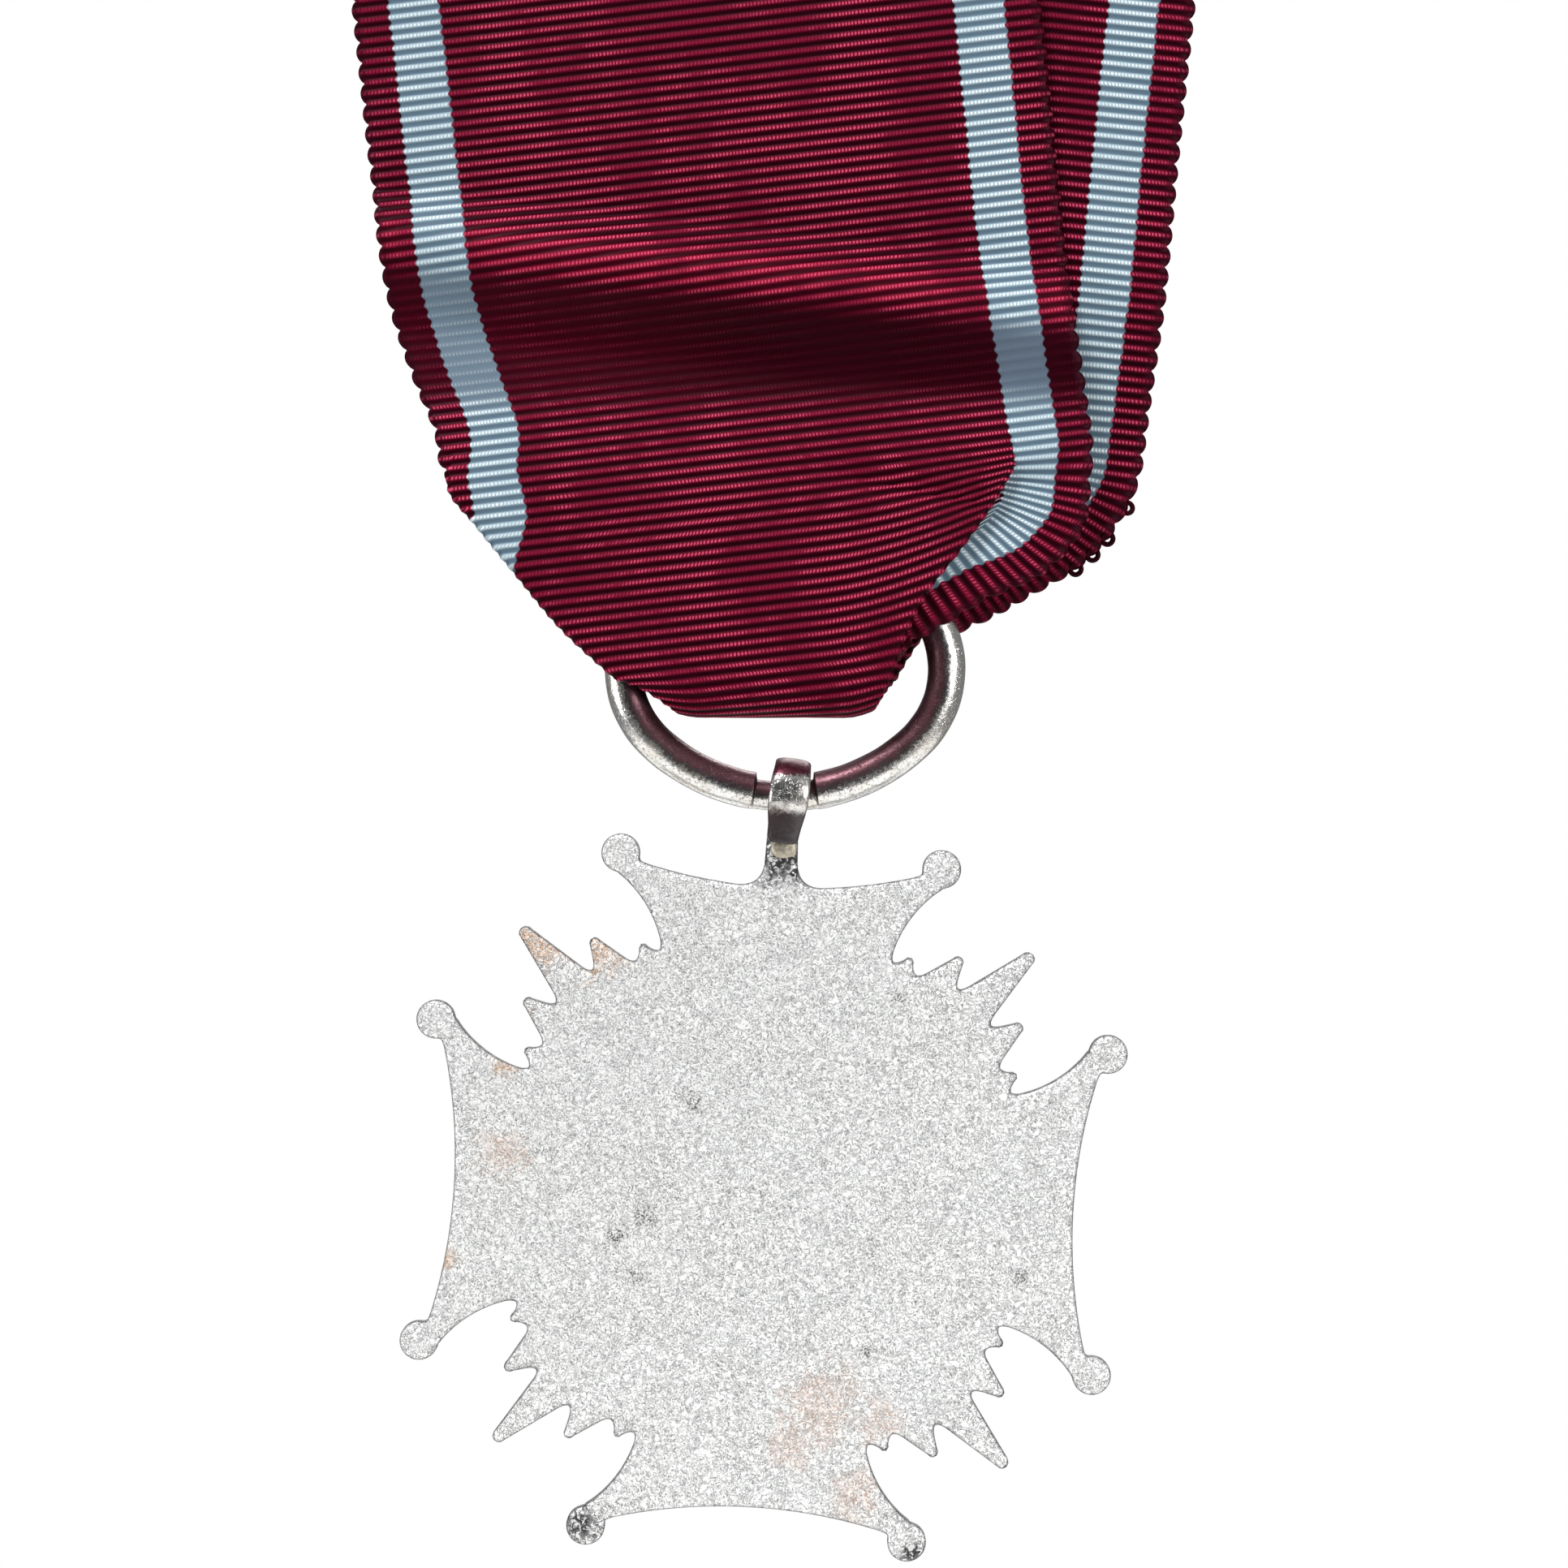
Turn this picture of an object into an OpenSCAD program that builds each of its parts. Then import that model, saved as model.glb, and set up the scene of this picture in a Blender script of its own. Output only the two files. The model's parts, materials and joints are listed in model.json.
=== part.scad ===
// A military service medal: a silvered cross with enamelled arms, hanging from an oval ring on a
// folded silk ribbon. It hangs from the place where the two ribbon tails are sewn together, which is
// the origin. +Z is up, the plain back of the cross faces -Y and its enamelled face looks along +Y.

/* [Cross] */
// Width of the cross over its arms, ball to ball
cross_w = 39.9; // [36:0.1:44]
// Thickness of the struck plate
plate_t = 1.6; // [1.2:0.1:2.2]
// Radius of the ball finials
ball_r = 1.08; // [0.8:0.02:1.3]
// How far the cross leans to the right as it hangs, in degrees
lean = 3; // [0:0.5:4]
// Width of the enamel's raised metal border
rim_w = 0.65; // [0.4:0.05:0.9]
// Depth of the cells that hold the enamel
cell_d = 0.5; // [0.3:0.05:0.7]

/* [Medallion] */
// Radius of the medallion
medallion_r = 6.6; // [5.5:0.1:7.5]
// Thickness of the medallion
medallion_t = 1.1; // [0.8:0.1:1.5]
// Number of petals in the rosette
petals = 8; // [5:1:12]

/* [Ring] */
// Outer width of the oval ring
ring_w = 20.2; // [18:0.1:22]
// Outer height of the oval ring
ring_h = 16; // [15.4:0.1:16.6]
// Diameter of the ring's wire
wire_d = 2.1; // [1.8:0.05:2.2]
// Diameter of the thinner neck that the eye hangs on
neck_d = 1.66; // [1.4:0.02:1.7]
// Length of the neck
neck_l = 3.6; // [3.2:0.1:4.2]

/* [Ribbon] */
// Width of the flat ribbon
ribbon_w = 38; // [36:0.5:38.5]
// Thickness of the ribbon over its ribs
ribbon_t = 0.4; // [0.3:0.05:0.45]
// Height of the sewn place above the middle of the cross
hang_h = 98; // [80:1:110]
// Ribbon left standing above the sewn place
top_spare = 4; // [2:0.5:6]

/* [Hidden] */
$fn = 96;

silver = [0.82, 0.82, 0.8];
worn_silver = [0.62, 0.61, 0.58];
claret = [0.42, 0.03, 0.12];
far_claret = [0.36, 0.03, 0.1];
enamel_red = [0.6, 0.02, 0.05];
enamel_white = [0.95, 0.95, 0.93];
solder_tan = [0.6, 0.56, 0.45];

// Everything below is drawn with the middle of the cross at height 0 and then lowered.
plate_back = -0.3;
plate_front = plate_back + plate_t;

// The cross
ball_at = [9, 18.85];
arm_edge = 17.35;      // height of the arm's outer edge at its middle
edge_end = [7.45, 18.3];
edge_sag = edge_end[1] - arm_edge;
edge_r = (edge_end[0] * edge_end[0] + edge_sag * edge_sag) / (2 * edge_sag);
side_mid = [13.05, 12.23];   // centre of the arm's hollow side
side_r = 6.78;
arm_foot = [4.1, 5];
field_r = 12.4;        // radius of the plain field that carries the rays
curve_steps = 14;

// Each ray: angle from the diagonal, tip distance, tip radius and spread per millimetre
rays = [[0, 20.3, 0.36, 0.2], [8.4, 17.4, 0.3, 0.4], [16.2, 15.75, 0.24, 0.58]];
ray_root = 11.5;

// The stem and the rolled eye
stem_foot = 17;
stem_top = 21;
stem_w = [2.05, 1.7];
fillet_r = 1.3;
eye_h = 22.65;
eye_shift = 0.25;
eye_hole_r = 1.35;
strip_t = 0.6;
eye_w = 2.2;
eye_lean = 5;

// The ring: a four-arc oval
ring_at = [1.2, 29.55];
side_arc_r = 5.6;
mid_a = (ring_w - wire_d) / 2;
mid_b = (ring_h - wire_d) / 2;
side_off = mid_a - side_arc_r;
flat_arc_r = (side_off * side_off + mid_b * mid_b - side_arc_r * side_arc_r)
    / (2 * (mid_b - side_arc_r));
flat_off = flat_arc_r - mid_b;
flat_half = atan(side_off / flat_off);
neck_half = asin(neck_l / 2 / flat_arc_r);
neck_arc_r = flat_arc_r + (wire_d - neck_d) / 2 - 0.05;

// The ribbon
bend_h = 46.8;         // where the tails meet the loop
bend_gap = 0.5;
layer_gap = 0.05;
slope_near = -0.132;
slope_far = 0.105;
near_bend_x = -1.5;
far_bend_x = 3;
top_h = hang_h + top_spare;
fold_h = 26.95;        // underside of the fold
fold_y = 1.3;          // half the clear width inside the fold
fold_x = [-5.3, 7.5];  // the part of the fold that passes through the ring
near_outline = [[-20.4, 46.55], [-18, 42.5], [-17.9, 39.8], [-13.7, 34.8], [-9.1, 29.3],
    [-6.2, fold_h], [7.2, fold_h], [9.5, 31.6], [15.9, 35.2], [17.9, 38], [18.1, 42.5],
    [17.4, 46.55]];
far_outline = [[-16, 46.55], [-16.4, 40.5], [-12.5, 34.6], [-8.6, 30.2], [-6.2, fold_h],
    [7.2, fold_h], [11.8, 32], [18.1, 35.7], [20.2, 38.5], [21.3, 42.5], [21.9, 46.55]];

function on_arc(c, r, a) = c + r * [cos(a), sin(a)];

// Half of an arm's outline, from the middle of its outer edge to its foot, drawn in by d.
function arm_half(d) =
    let (edge_c = [0, arm_edge + edge_r],
         edge_a = asin((edge_end[0] - d) / (edge_r + d)),
         side_from = acos((side_mid[0] - ball_at[0] + d) / (side_r + d)),
         side_to = -20)
    concat(
        [for (i = [0 : curve_steps]) on_arc(edge_c, edge_r + d, 270 + edge_a * i / curve_steps)],
        d == 0 ? [ball_at] : [],
        [for (i = [0 : curve_steps]) on_arc(side_mid, side_r + d,
            180 - side_from + (side_from - side_to) * i / curve_steps)],
        [arm_foot - [d, 0]]);

function flipped(pts) = [for (i = [len(pts) - 1 : -1 : 0]) [-pts[i][0], pts[i][1]]];

module arm_shape(d = 0) {
    half = arm_half(d);
    polygon(concat(half, flipped(half)));
}

// An upright slab: a flat shape drawn in X and Z, standing from y0 to y1.
module slab(y0, y1) {
    translate([0, y1, 0]) rotate([90, 0, 0]) linear_extrude(y1 - y0) children();
}

// Lowers a piece from the middle of the cross to where it hangs.
module hang() {
    translate([0, 0, -hang_h]) children();
}

// Puts a piece of the cross at the angle at which it hangs.
module hang_cross() {
    hang() rotate([0, lean, 0]) children();
}

module ray(r) {
    root_w = r[2] + r[3] * (r[1] - r[2] - ray_root);
    rotate(r[0]) {
        polygon([[ray_root, -root_w], [r[1] - r[2], -r[2]], [r[1] - r[2], r[2]],
            [ray_root, root_w]]);
        translate([r[1] - r[2], 0]) circle(r[2], $fn = 24);
    }
}

module ray_corner() {
    for (r = rays) {
        ray(r);
        mirror([0, 1]) ray(r);
    }
}

module plate_shape() {
    circle(field_r);
    for (q = [0 : 3]) rotate(90 * q) {
        arm_shape();
        rotate(45) ray_corner();
        for (side = [-1, 1]) translate([side * ball_at[0], ball_at[1]]) circle(ball_r - 0.1);
    }
}

module ball() {
    translate([0, plate_back + ball_r + 0.04, 0]) sphere(ball_r);
}

module stem_shape() {
    polygon([[-stem_w[0] / 2, stem_foot], [stem_w[0] / 2, stem_foot],
        [stem_w[1] / 2, stem_top], [-stem_w[1] / 2, stem_top]]);
    for (side = [-1, 1]) translate([side * stem_w[0] / 2, arm_edge]) difference() {
        translate([side > 0 ? -0.1 : -fillet_r, -0.3]) square([fillet_r + 0.1, fillet_r + 0.3]);
        translate([side * fillet_r, fillet_r]) circle(fillet_r, $fn = 48);
    }
}

// The strip that rises from the stem, rolls over to the back and ends on the stem.
module rolled_eye() {
    outer_r = eye_hole_r + strip_t;
    translate([eye_shift, 0, eye_h]) rotate([0, eye_lean, 0]) rotate([90, 0, 90])
        translate([0, 0, -eye_w / 2]) linear_extrude(eye_w) difference() {
            union() {
                circle(outer_r);
                polygon([[-outer_r, 0], [-outer_r + 0.15, -1.15], [-1.25, -2.7], [-0.6, -2.8],
                    [0.6, -1.55], [plate_front, -2.35], [plate_front + 0.2, -1.15], [outer_r, 0]]);
            }
            circle(eye_hole_r);
        }
}

module cross_body() {
    color(silver) hang_cross() {
        difference() {
            slab(plate_back, plate_front) plate_shape();
            for (q = [0 : 3]) rotate([0, 90 * q, 0])
                slab(plate_front - cell_d, plate_front + 1) arm_shape(rim_w);
        }
        for (q = [0 : 3]) rotate([0, 90 * q, 0])
            for (side = [-1, 1]) translate([side * ball_at[0], 0, ball_at[1]]) ball();
        slab(plate_back, plate_front) stem_shape();
        rolled_eye();
    }
}

module eye_solder() {
    color(solder_tan) hang_cross() slab(-0.6, plate_back)
        polygon([[-0.55, 19.3], [0.1, 19.05], [0.75, 19.3], [0.75, 19.9], [-0.55, 19.9]]);
}

module enamel_arm(q) {
    color(enamel_red) hang_cross() rotate([0, 90 * q, 0]) intersection() {
        slab(plate_front - cell_d, plate_front + 0.15) arm_shape(rim_w);
        slab(0, 10) difference() {
            circle(field_r * 2);
            circle(medallion_r + 0.1);
        }
    }
}

module enamel_arm_top() { enamel_arm(0); }
module enamel_arm_right() { enamel_arm(1); }
module enamel_arm_bottom() { enamel_arm(2); }
module enamel_arm_left() { enamel_arm(3); }

medallion_y = plate_front + 0.1;
white_r = [4.7, 6.1];
red_r = 4.3;
medallion_face = medallion_y + medallion_t;

module medallion_solder() {
    color(solder_tan) hang_cross() slab(plate_front, medallion_y) circle(arm_foot[0] - rim_w - 0.4);
}

module medallion_disc() {
    color(silver) hang_cross() difference() {
        slab(medallion_y, medallion_face) circle(medallion_r);
        slab(medallion_face - cell_d, medallion_face + 1) difference() {
            circle(white_r[1]);
            circle(white_r[0]);
        }
        slab(medallion_face - cell_d, medallion_face + 1) circle(red_r);
    }
}

module medallion_enamel_white() {
    color(enamel_white) hang_cross() slab(medallion_face - cell_d, medallion_face - 0.05)
        difference() {
            circle(white_r[1]);
            circle(white_r[0]);
        }
}

module medallion_enamel_red() {
    color(enamel_red) hang_cross() slab(medallion_face - cell_d, medallion_face - 0.1)
        circle(red_r);
}

module medallion_emblem() {
    petal_mid = 1.95;
    petal_r = 0.62;
    heart_r = 0.95;
    color(silver) hang_cross() slab(medallion_face - 0.1, medallion_face + 0.35) {
        circle(heart_r);
        for (i = [0 : petals - 1]) rotate(360 * i / petals) {
            translate([0, petal_mid + 0.6]) circle(petal_r);
            polygon([[-0.2, 0.6], [0.2, 0.6], [petal_r, petal_mid + 0.6], [-petal_r, petal_mid + 0.6]]);
        }
    }
}

// The ring's wire is swept round its four arcs, and narrows to the neck at the bottom.
// Each arc: centre, radius of its middle line, start angle, sweep, wire radius and number of steps.
shoulder = 0.8;
ring_arcs = [
    [[0, flat_off], neck_arc_r, 270 - neck_half + shoulder, 2 * (neck_half - shoulder), neck_d / 2, 6],
    [[0, flat_off], flat_arc_r, 270 + neck_half, flat_half - neck_half, wire_d / 2, 9],
    [[side_off, 0], side_arc_r, flat_half - 90, 180 - 2 * flat_half, wire_d / 2, 15],
    [[0, -flat_off], flat_arc_r, 90 - flat_half, 2 * flat_half, wire_d / 2, 18],
    [[-side_off, 0], side_arc_r, 90 + flat_half, 180 - 2 * flat_half, wire_d / 2, 15],
    [[0, flat_off], flat_arc_r, 270 - flat_half, flat_half - neck_half, wire_d / 2, 9]];
wire_sides = 20;

// Every cross-section of the wire: centre, direction from the arc's centre and wire radius.
ring_sections = [for (i = [0 : len(ring_arcs) - 1]) let (a = ring_arcs[i])
    for (k = [(i < 2 ? 0 : 1) : a[5]]) let (t = a[2] + a[3] * k / a[5])
        [on_arc(a[0], a[1], t), t, a[4]]];

function wire_point(s, j) =
    let (w = 360 * j / wire_sides, out = s[2] * cos(w))
    [s[0][0] + out * cos(s[1]), s[2] * sin(w), s[0][1] + out * sin(s[1])];

module suspension_ring() {
    n = len(ring_sections);
    m = wire_sides;
    color(worn_silver) hang() translate([ring_at[0], 0, ring_at[1]]) polyhedron(
        points = [for (s = ring_sections) for (j = [0 : m - 1]) wire_point(s, j)],
        faces = [for (i = [0 : n - 1]) for (j = [0 : m - 1])
            [i * m + j, i * m + (j + 1) % m, (i + 1) % n * m + (j + 1) % m, (i + 1) % n * m + j]],
        convexity = 4);
}

// A flat tail that leans as it rises from the bend to the sewn place.
module tail(x, slope) {
    low = bend_h + bend_gap / 2;
    rise = slope * (top_h - low);
    polygon([[x - ribbon_w / 2, low], [x + ribbon_w / 2, low],
        [x + ribbon_w / 2 + rise, top_h], [x - ribbon_w / 2 + rise, top_h]]);
}

module ribbon_near_tail() {
    color(claret) hang() slab(-layer_gap - ribbon_t, -layer_gap) tail(near_bend_x, slope_near);
}

module ribbon_far_tail() {
    color(far_claret) hang() slab(layer_gap, layer_gap + ribbon_t) tail(far_bend_x, slope_far);
}

// Side view of one layer of the loop: close to its neighbour at the bend and clear of the ring below.
module layer_profile(t) {
    top = bend_h - bend_gap / 2;
    ring_top = ring_at[1] + ring_h / 2 + 1.5;
    polygon([[layer_gap, top], [layer_gap + t, top], [fold_y + t, ring_top], [fold_y + t, fold_h + fold_y + t],
        [fold_y, fold_h + fold_y + t], [fold_y, ring_top]]);
}

module layer(outline) {
    intersection() {
        translate([-30, 0, 0]) rotate([90, 0, 90]) linear_extrude(60) layer_profile(ribbon_t);
        slab(-5, 5) polygon(outline);
    }
}

module ribbon_loop() {
    outer_r = fold_y + ribbon_t;
    color(claret) hang() {
        mirror([0, 1, 0]) layer(near_outline);
        layer(far_outline);
        translate([fold_x[0], 0, fold_h + outer_r]) rotate([90, 0, 90])
            linear_extrude(fold_x[1] - fold_x[0]) difference() {
                circle(outer_r);
                circle(fold_y);
                translate([-5, 0]) square([10, 5]);
            }
    }
}

ribbon_near_tail();
ribbon_far_tail();
ribbon_loop();
suspension_ring();
cross_body();
eye_solder();
enamel_arm_top();
enamel_arm_right();
enamel_arm_bottom();
enamel_arm_left();
medallion_solder();
medallion_disc();
medallion_enamel_white();
medallion_enamel_red();
medallion_emblem();
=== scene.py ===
import bmesh
import bpy
import json
import math
import numpy as np
from mathutils import Matrix, Vector, noise

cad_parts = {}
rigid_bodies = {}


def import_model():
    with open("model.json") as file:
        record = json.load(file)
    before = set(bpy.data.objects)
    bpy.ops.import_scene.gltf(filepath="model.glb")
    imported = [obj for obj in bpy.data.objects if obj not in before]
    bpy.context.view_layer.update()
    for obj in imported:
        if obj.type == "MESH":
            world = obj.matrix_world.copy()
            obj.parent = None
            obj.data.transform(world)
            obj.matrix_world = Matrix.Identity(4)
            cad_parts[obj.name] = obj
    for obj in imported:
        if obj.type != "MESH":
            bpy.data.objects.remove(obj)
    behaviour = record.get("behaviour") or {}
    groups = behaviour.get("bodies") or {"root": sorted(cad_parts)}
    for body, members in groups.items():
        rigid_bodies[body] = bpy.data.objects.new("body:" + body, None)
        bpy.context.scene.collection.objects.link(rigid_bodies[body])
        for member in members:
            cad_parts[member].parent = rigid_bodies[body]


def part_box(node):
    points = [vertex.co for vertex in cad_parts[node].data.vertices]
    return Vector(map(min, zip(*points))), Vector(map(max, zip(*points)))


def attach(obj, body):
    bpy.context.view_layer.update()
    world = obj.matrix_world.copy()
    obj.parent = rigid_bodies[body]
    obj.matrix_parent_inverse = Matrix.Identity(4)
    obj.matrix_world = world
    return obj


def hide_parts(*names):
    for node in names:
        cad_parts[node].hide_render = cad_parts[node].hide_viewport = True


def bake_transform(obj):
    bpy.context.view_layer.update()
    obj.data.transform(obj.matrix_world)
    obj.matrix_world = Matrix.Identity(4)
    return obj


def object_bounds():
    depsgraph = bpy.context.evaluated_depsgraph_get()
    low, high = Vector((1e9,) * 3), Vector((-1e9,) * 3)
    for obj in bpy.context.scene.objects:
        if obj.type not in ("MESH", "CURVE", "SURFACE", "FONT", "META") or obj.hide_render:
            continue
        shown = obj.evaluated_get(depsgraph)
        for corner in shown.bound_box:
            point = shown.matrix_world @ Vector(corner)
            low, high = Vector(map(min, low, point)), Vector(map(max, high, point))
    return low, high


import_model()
cadBox = [list(v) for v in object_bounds()]
mm = 0.001


# Places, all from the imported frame. The cross is drawn in millimetres round its own middle.
def boxOf(*nodes):
    boxes = [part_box(n) for n in nodes]
    low = [min(b[0][i] for b in boxes) / mm for i in range(3)]
    high = [max(b[1][i] for b in boxes) / mm for i in range(3)]
    return low, high


def middleOf(*nodes):
    low, high = boxOf(*nodes)
    return [(a + b) / 2 for a, b in zip(low, high)]


armNodes = ["enamel_arm_top", "enamel_arm_right", "enamel_arm_bottom", "enamel_arm_left"]
crossMid = middleOf(*armNodes)
crossZ = crossMid[2]                      # height of the middle of the cross
ringLow, ringHigh = boxOf("suspension_ring")
ringX = (ringLow[0] + ringHigh[0]) / 2
ringZ = (ringLow[2] + ringHigh[2]) / 2 - crossZ
lean = math.radians(3)                    # the cross hangs a little to the right


# Camera: level with the stem, looking at the plain back
camera = {"focal": 100, "sensor": 36, "field": 87.8, "x": 1.14, "up": 23.14}

lens = bpy.data.cameras.new("camera")
lens.lens = camera["focal"]
lens.sensor_width = camera["sensor"]
viewer = bpy.data.objects.new("camera", lens)
viewer.location = (camera["x"] * mm, -camera["field"] / camera["sensor"] * camera["focal"] * mm,
                   (crossZ + camera["up"]) * mm)
viewer.rotation_euler = (math.pi / 2, 0, 0)
bpy.context.scene.collection.objects.link(viewer)
bpy.context.scene.camera = viewer
print("camera ready")


# Shader maths: a link is a socket that takes the usual operators.
class Link:
    def __init__(self, tree, socket):
        self.tree, self.socket = tree, socket

    def math(self, operation, *values):
        return self.tree.add("ShaderNodeMath", {"operation": operation}, dict(enumerate(values)))

    def __add__(self, other): return self.math("ADD", self, other)
    def __radd__(self, other): return self.math("ADD", other, self)
    def __sub__(self, other): return self.math("SUBTRACT", self, other)
    def __rsub__(self, other): return self.math("SUBTRACT", other, self)
    def __mul__(self, other): return self.math("MULTIPLY", self, other)
    def __rmul__(self, other): return self.math("MULTIPLY", other, self)
    def __truediv__(self, other): return self.math("DIVIDE", self, other)
    def __rtruediv__(self, other): return self.math("DIVIDE", other, self)
    def __pow__(self, other): return self.math("POWER", self, other)

    def sine(self): return self.math("SINE", self)
    def size(self): return self.math("ABSOLUTE", self)
    def least(self, other): return self.math("MINIMUM", self, other)
    def most(self, other): return self.math("MAXIMUM", self, other)

    def ramp(self, low, high, first=0.0, last=1.0):
        return self.tree.add("ShaderNodeMapRange", {"interpolation_type": "SMOOTHSTEP"},
                             {"Value": self, "From Min": low, "From Max": high,
                              "To Min": first, "To Max": last})


# A material, or any other node tree, with one method that adds a node and a few for the common ones
class Finish:
    def __init__(self, name, tree=None):
        if not tree:
            self.material = bpy.data.materials.new(name)
            self.material.use_nodes = True
            tree = self.material.node_tree
        self.nodes, self.links = tree.nodes, tree.links
        self.nodes.clear()

    def add(self, kind, settings, sockets, output=0):
        node = self.nodes.new(kind)
        for key, value in settings.items():
            setattr(node, key, value)
        for key, value in sockets.items():
            if isinstance(value, Link):
                self.links.new(value.socket, node.inputs[key])
            else:
                node.inputs[key].default_value = value
        return Link(self, node.outputs[output]) if len(node.outputs) else None

    def mix(self, amount, first, second):
        return self.add("ShaderNodeMix", {"data_type": "RGBA"},
                        {0: amount, 6: first, 7: second}, 2)

    def place(self):
        return self.add("ShaderNodeTexCoord", {}, {}, "Object")

    def split(self, vector):
        first = self.add("ShaderNodeSeparateXYZ", {}, {0: vector})
        outs = first.socket.node.outputs
        return [Link(self, outs[i]) for i in range(3)]

    def noise(self, size, detail, rough, twist, at):
        return self.add("ShaderNodeTexNoise", {},
                        {"Vector": at, "Scale": 1 / (size * mm),
                         "Detail": detail, "Roughness": rough, "Distortion": twist})

    def cells(self, size, at):
        return self.add("ShaderNodeTexVoronoi", {}, {"Vector": at, "Scale": 1 / (size * mm)})

    def bump(self, height, depth, strength):
        return self.add("ShaderNodeBump", {},
                        {"Height": height, "Distance": depth * mm, "Strength": strength})

    def close(self, sockets):
        shader = self.add("ShaderNodeBsdfPrincipled", {}, sockets)
        self.add("ShaderNodeOutputMaterial", {}, {"Surface": shader})
        return self.material


def colour(red, green, blue):
    return (red, green, blue, 1.0)


# Mesh helpers
def addMesh(name, points, faces, material, body):
    mesh = bpy.data.meshes.new(name)
    mesh.from_pydata([tuple(p) for p in points], [], [tuple(f) for f in faces])
    mesh.materials.append(material)
    mesh.validate()
    mesh.update()
    mesh.polygons.foreach_set("use_smooth", [True] * len(mesh.polygons))
    piece = bpy.data.objects.new(name, mesh)
    bpy.context.scene.collection.objects.link(piece)
    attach(piece, body)
    return piece


# From the cross's own millimetres to the frame
def hung(points):
    turned = Matrix.Rotation(lean, 3, "Y")
    base = Vector((0, 0, crossZ))
    return [(turned @ Vector(p) + base) * mm for p in points]


# The struck cross, in millimetres round its middle: X right, Y towards the enamelled face, Z up
cross = {"back": -0.3, "valley": 0.7, "ridge": 0.42, "rim": 1.3, "floor": 0.85, "boss": 1.38,
         "bossEdge": (6.5, 6.75), "rayStep": 8.2, "domeFrom": 0.72, "stemFace": 1.12,
         "ball": 1.08, "ballAt": (9.0, 18.85), "edgeMiddle": 17.35, "edgeEnd": (7.45, 18.3),
         "sideMiddle": (13.05, 12.23), "sideRadius": 6.78, "foot": (4.1, 5.0), "field": 12.4,
         "rimWidth": 0.62, "stemFoot": 16.5, "stemTop": 21.2, "stemHalf": (1.0, 0.84),
         "ballFillet": 0.25, "rayFillet": 0.8, "stemFillet": 1.5, "pitch": 0.14, "edge": 0.16}
# Each ray: degrees from the diagonal, reach, tip radius, spread
rays = [(0, 20.3, 0.36, 0.2), (8.4, 17.4, 0.3, 0.4), (16.2, 15.75, 0.24, 0.58)]
rayRoot = 11.5


def arcPoints(middle, radius, first, last, steps):
    angles = [math.radians(first + (last - first) * i / steps) for i in range(steps + 1)]
    return [(middle[0] + radius * math.cos(a), middle[1] + radius * math.sin(a)) for a in angles]


# Half of the top arm, from the middle of its outer edge round to its foot
def armHalf(steps=16):
    endX, endZ = cross["edgeEnd"]
    sag = endZ - cross["edgeMiddle"]
    radius = (endX ** 2 + sag ** 2) / (2 * sag)
    spread = math.degrees(math.asin(endX / radius))
    sideX = cross["sideMiddle"][0]
    start = math.degrees(math.acos((sideX - cross["ballAt"][0]) / cross["sideRadius"]))
    outer = arcPoints((0, cross["edgeMiddle"] + radius), radius, 270, 270 + spread, steps)
    side = arcPoints(cross["sideMiddle"], cross["sideRadius"], 180 - start, 200, steps)
    return outer, side + [cross["foot"]]


def armOutline(withBalls=True):
    outer, side = armHalf()
    half = outer + ([cross["ballAt"]] if withBalls else []) + side
    return half + [(-x, z) for x, z in reversed(half[1:])]


# Distance from an outline, negative inside it
def toOutline(outline, x, z):
    near = np.full(x.shape, 1e9)
    inside = np.zeros(x.shape, bool)
    for (ax, az), (bx, bz) in zip(outline, outline[1:] + outline[:1]):
        dx, dz = bx - ax, bz - az
        t = np.clip(((x - ax) * dx + (z - az) * dz) / (dx * dx + dz * dz), 0, 1)
        near = np.minimum(near, (x - ax - t * dx) ** 2 + (z - az - t * dz) ** 2)
        crosses = (az > z) != (bz > z)
        with np.errstate(divide="ignore", invalid="ignore"):
            inside ^= crosses & (x < ax + (z - az) * dx / np.where(dz == 0, 1e-9, dz))
    return np.where(inside, -1, 1) * np.sqrt(near)


def toRound(x, z, middle, radius):
    return np.hypot(x - middle[0], z - middle[1]) - radius


# The smaller of two distances, with a fillet of about k where they meet
def filleted(a, b, k):
    h = np.clip(0.5 + 0.5 * (b - a) / k, 0, 1)
    return b + (a - b) * h - k * h * (1 - h)


# Turns every point into the eighth of the cross between the top arm's axis and the diagonal
def folded(x, z):
    ax, az = np.abs(x), np.abs(z)
    return np.minimum(ax, az), np.maximum(ax, az)


def toRay(ray, x, z):
    turn = math.radians(45 + ray[0])
    along = x * math.cos(turn) + z * math.sin(turn)
    across = -x * math.sin(turn) + z * math.cos(turn)
    tip = ray[1] - ray[2]
    root = ray[2] + ray[3] * (tip - rayRoot)
    body = toOutline([(rayRoot, -root), (tip, -ray[2]), (tip, ray[2]), (rayRoot, root)], along, across)
    return np.minimum(body, toRound(along, across, (tip, 0), ray[2]))


def toPlate(x, z):
    fx, fz = folded(x, z)
    d = filleted(toOutline(armOutline(), fx, fz), toRound(fx, fz, cross["ballAt"], cross["ball"]),
                 cross["ballFillet"])
    for ray in rays:
        d = filleted(d, toRay(ray, fx, fz), cross["rayFillet"])
    d = np.minimum(d, toRound(x, z, (0, 0), cross["field"]))
    (low, high), foot, top = cross["stemHalf"], cross["stemFoot"], cross["stemTop"]
    stem = toOutline([(-low, foot), (low, foot), (high, top), (-high, top)], x, z)
    return filleted(d, stem, cross["stemFillet"])


def blendStep(value, low, high):
    t = np.clip((value - low) / (high - low), 0, 1)
    return t * t * (3 - 2 * t)


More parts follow.
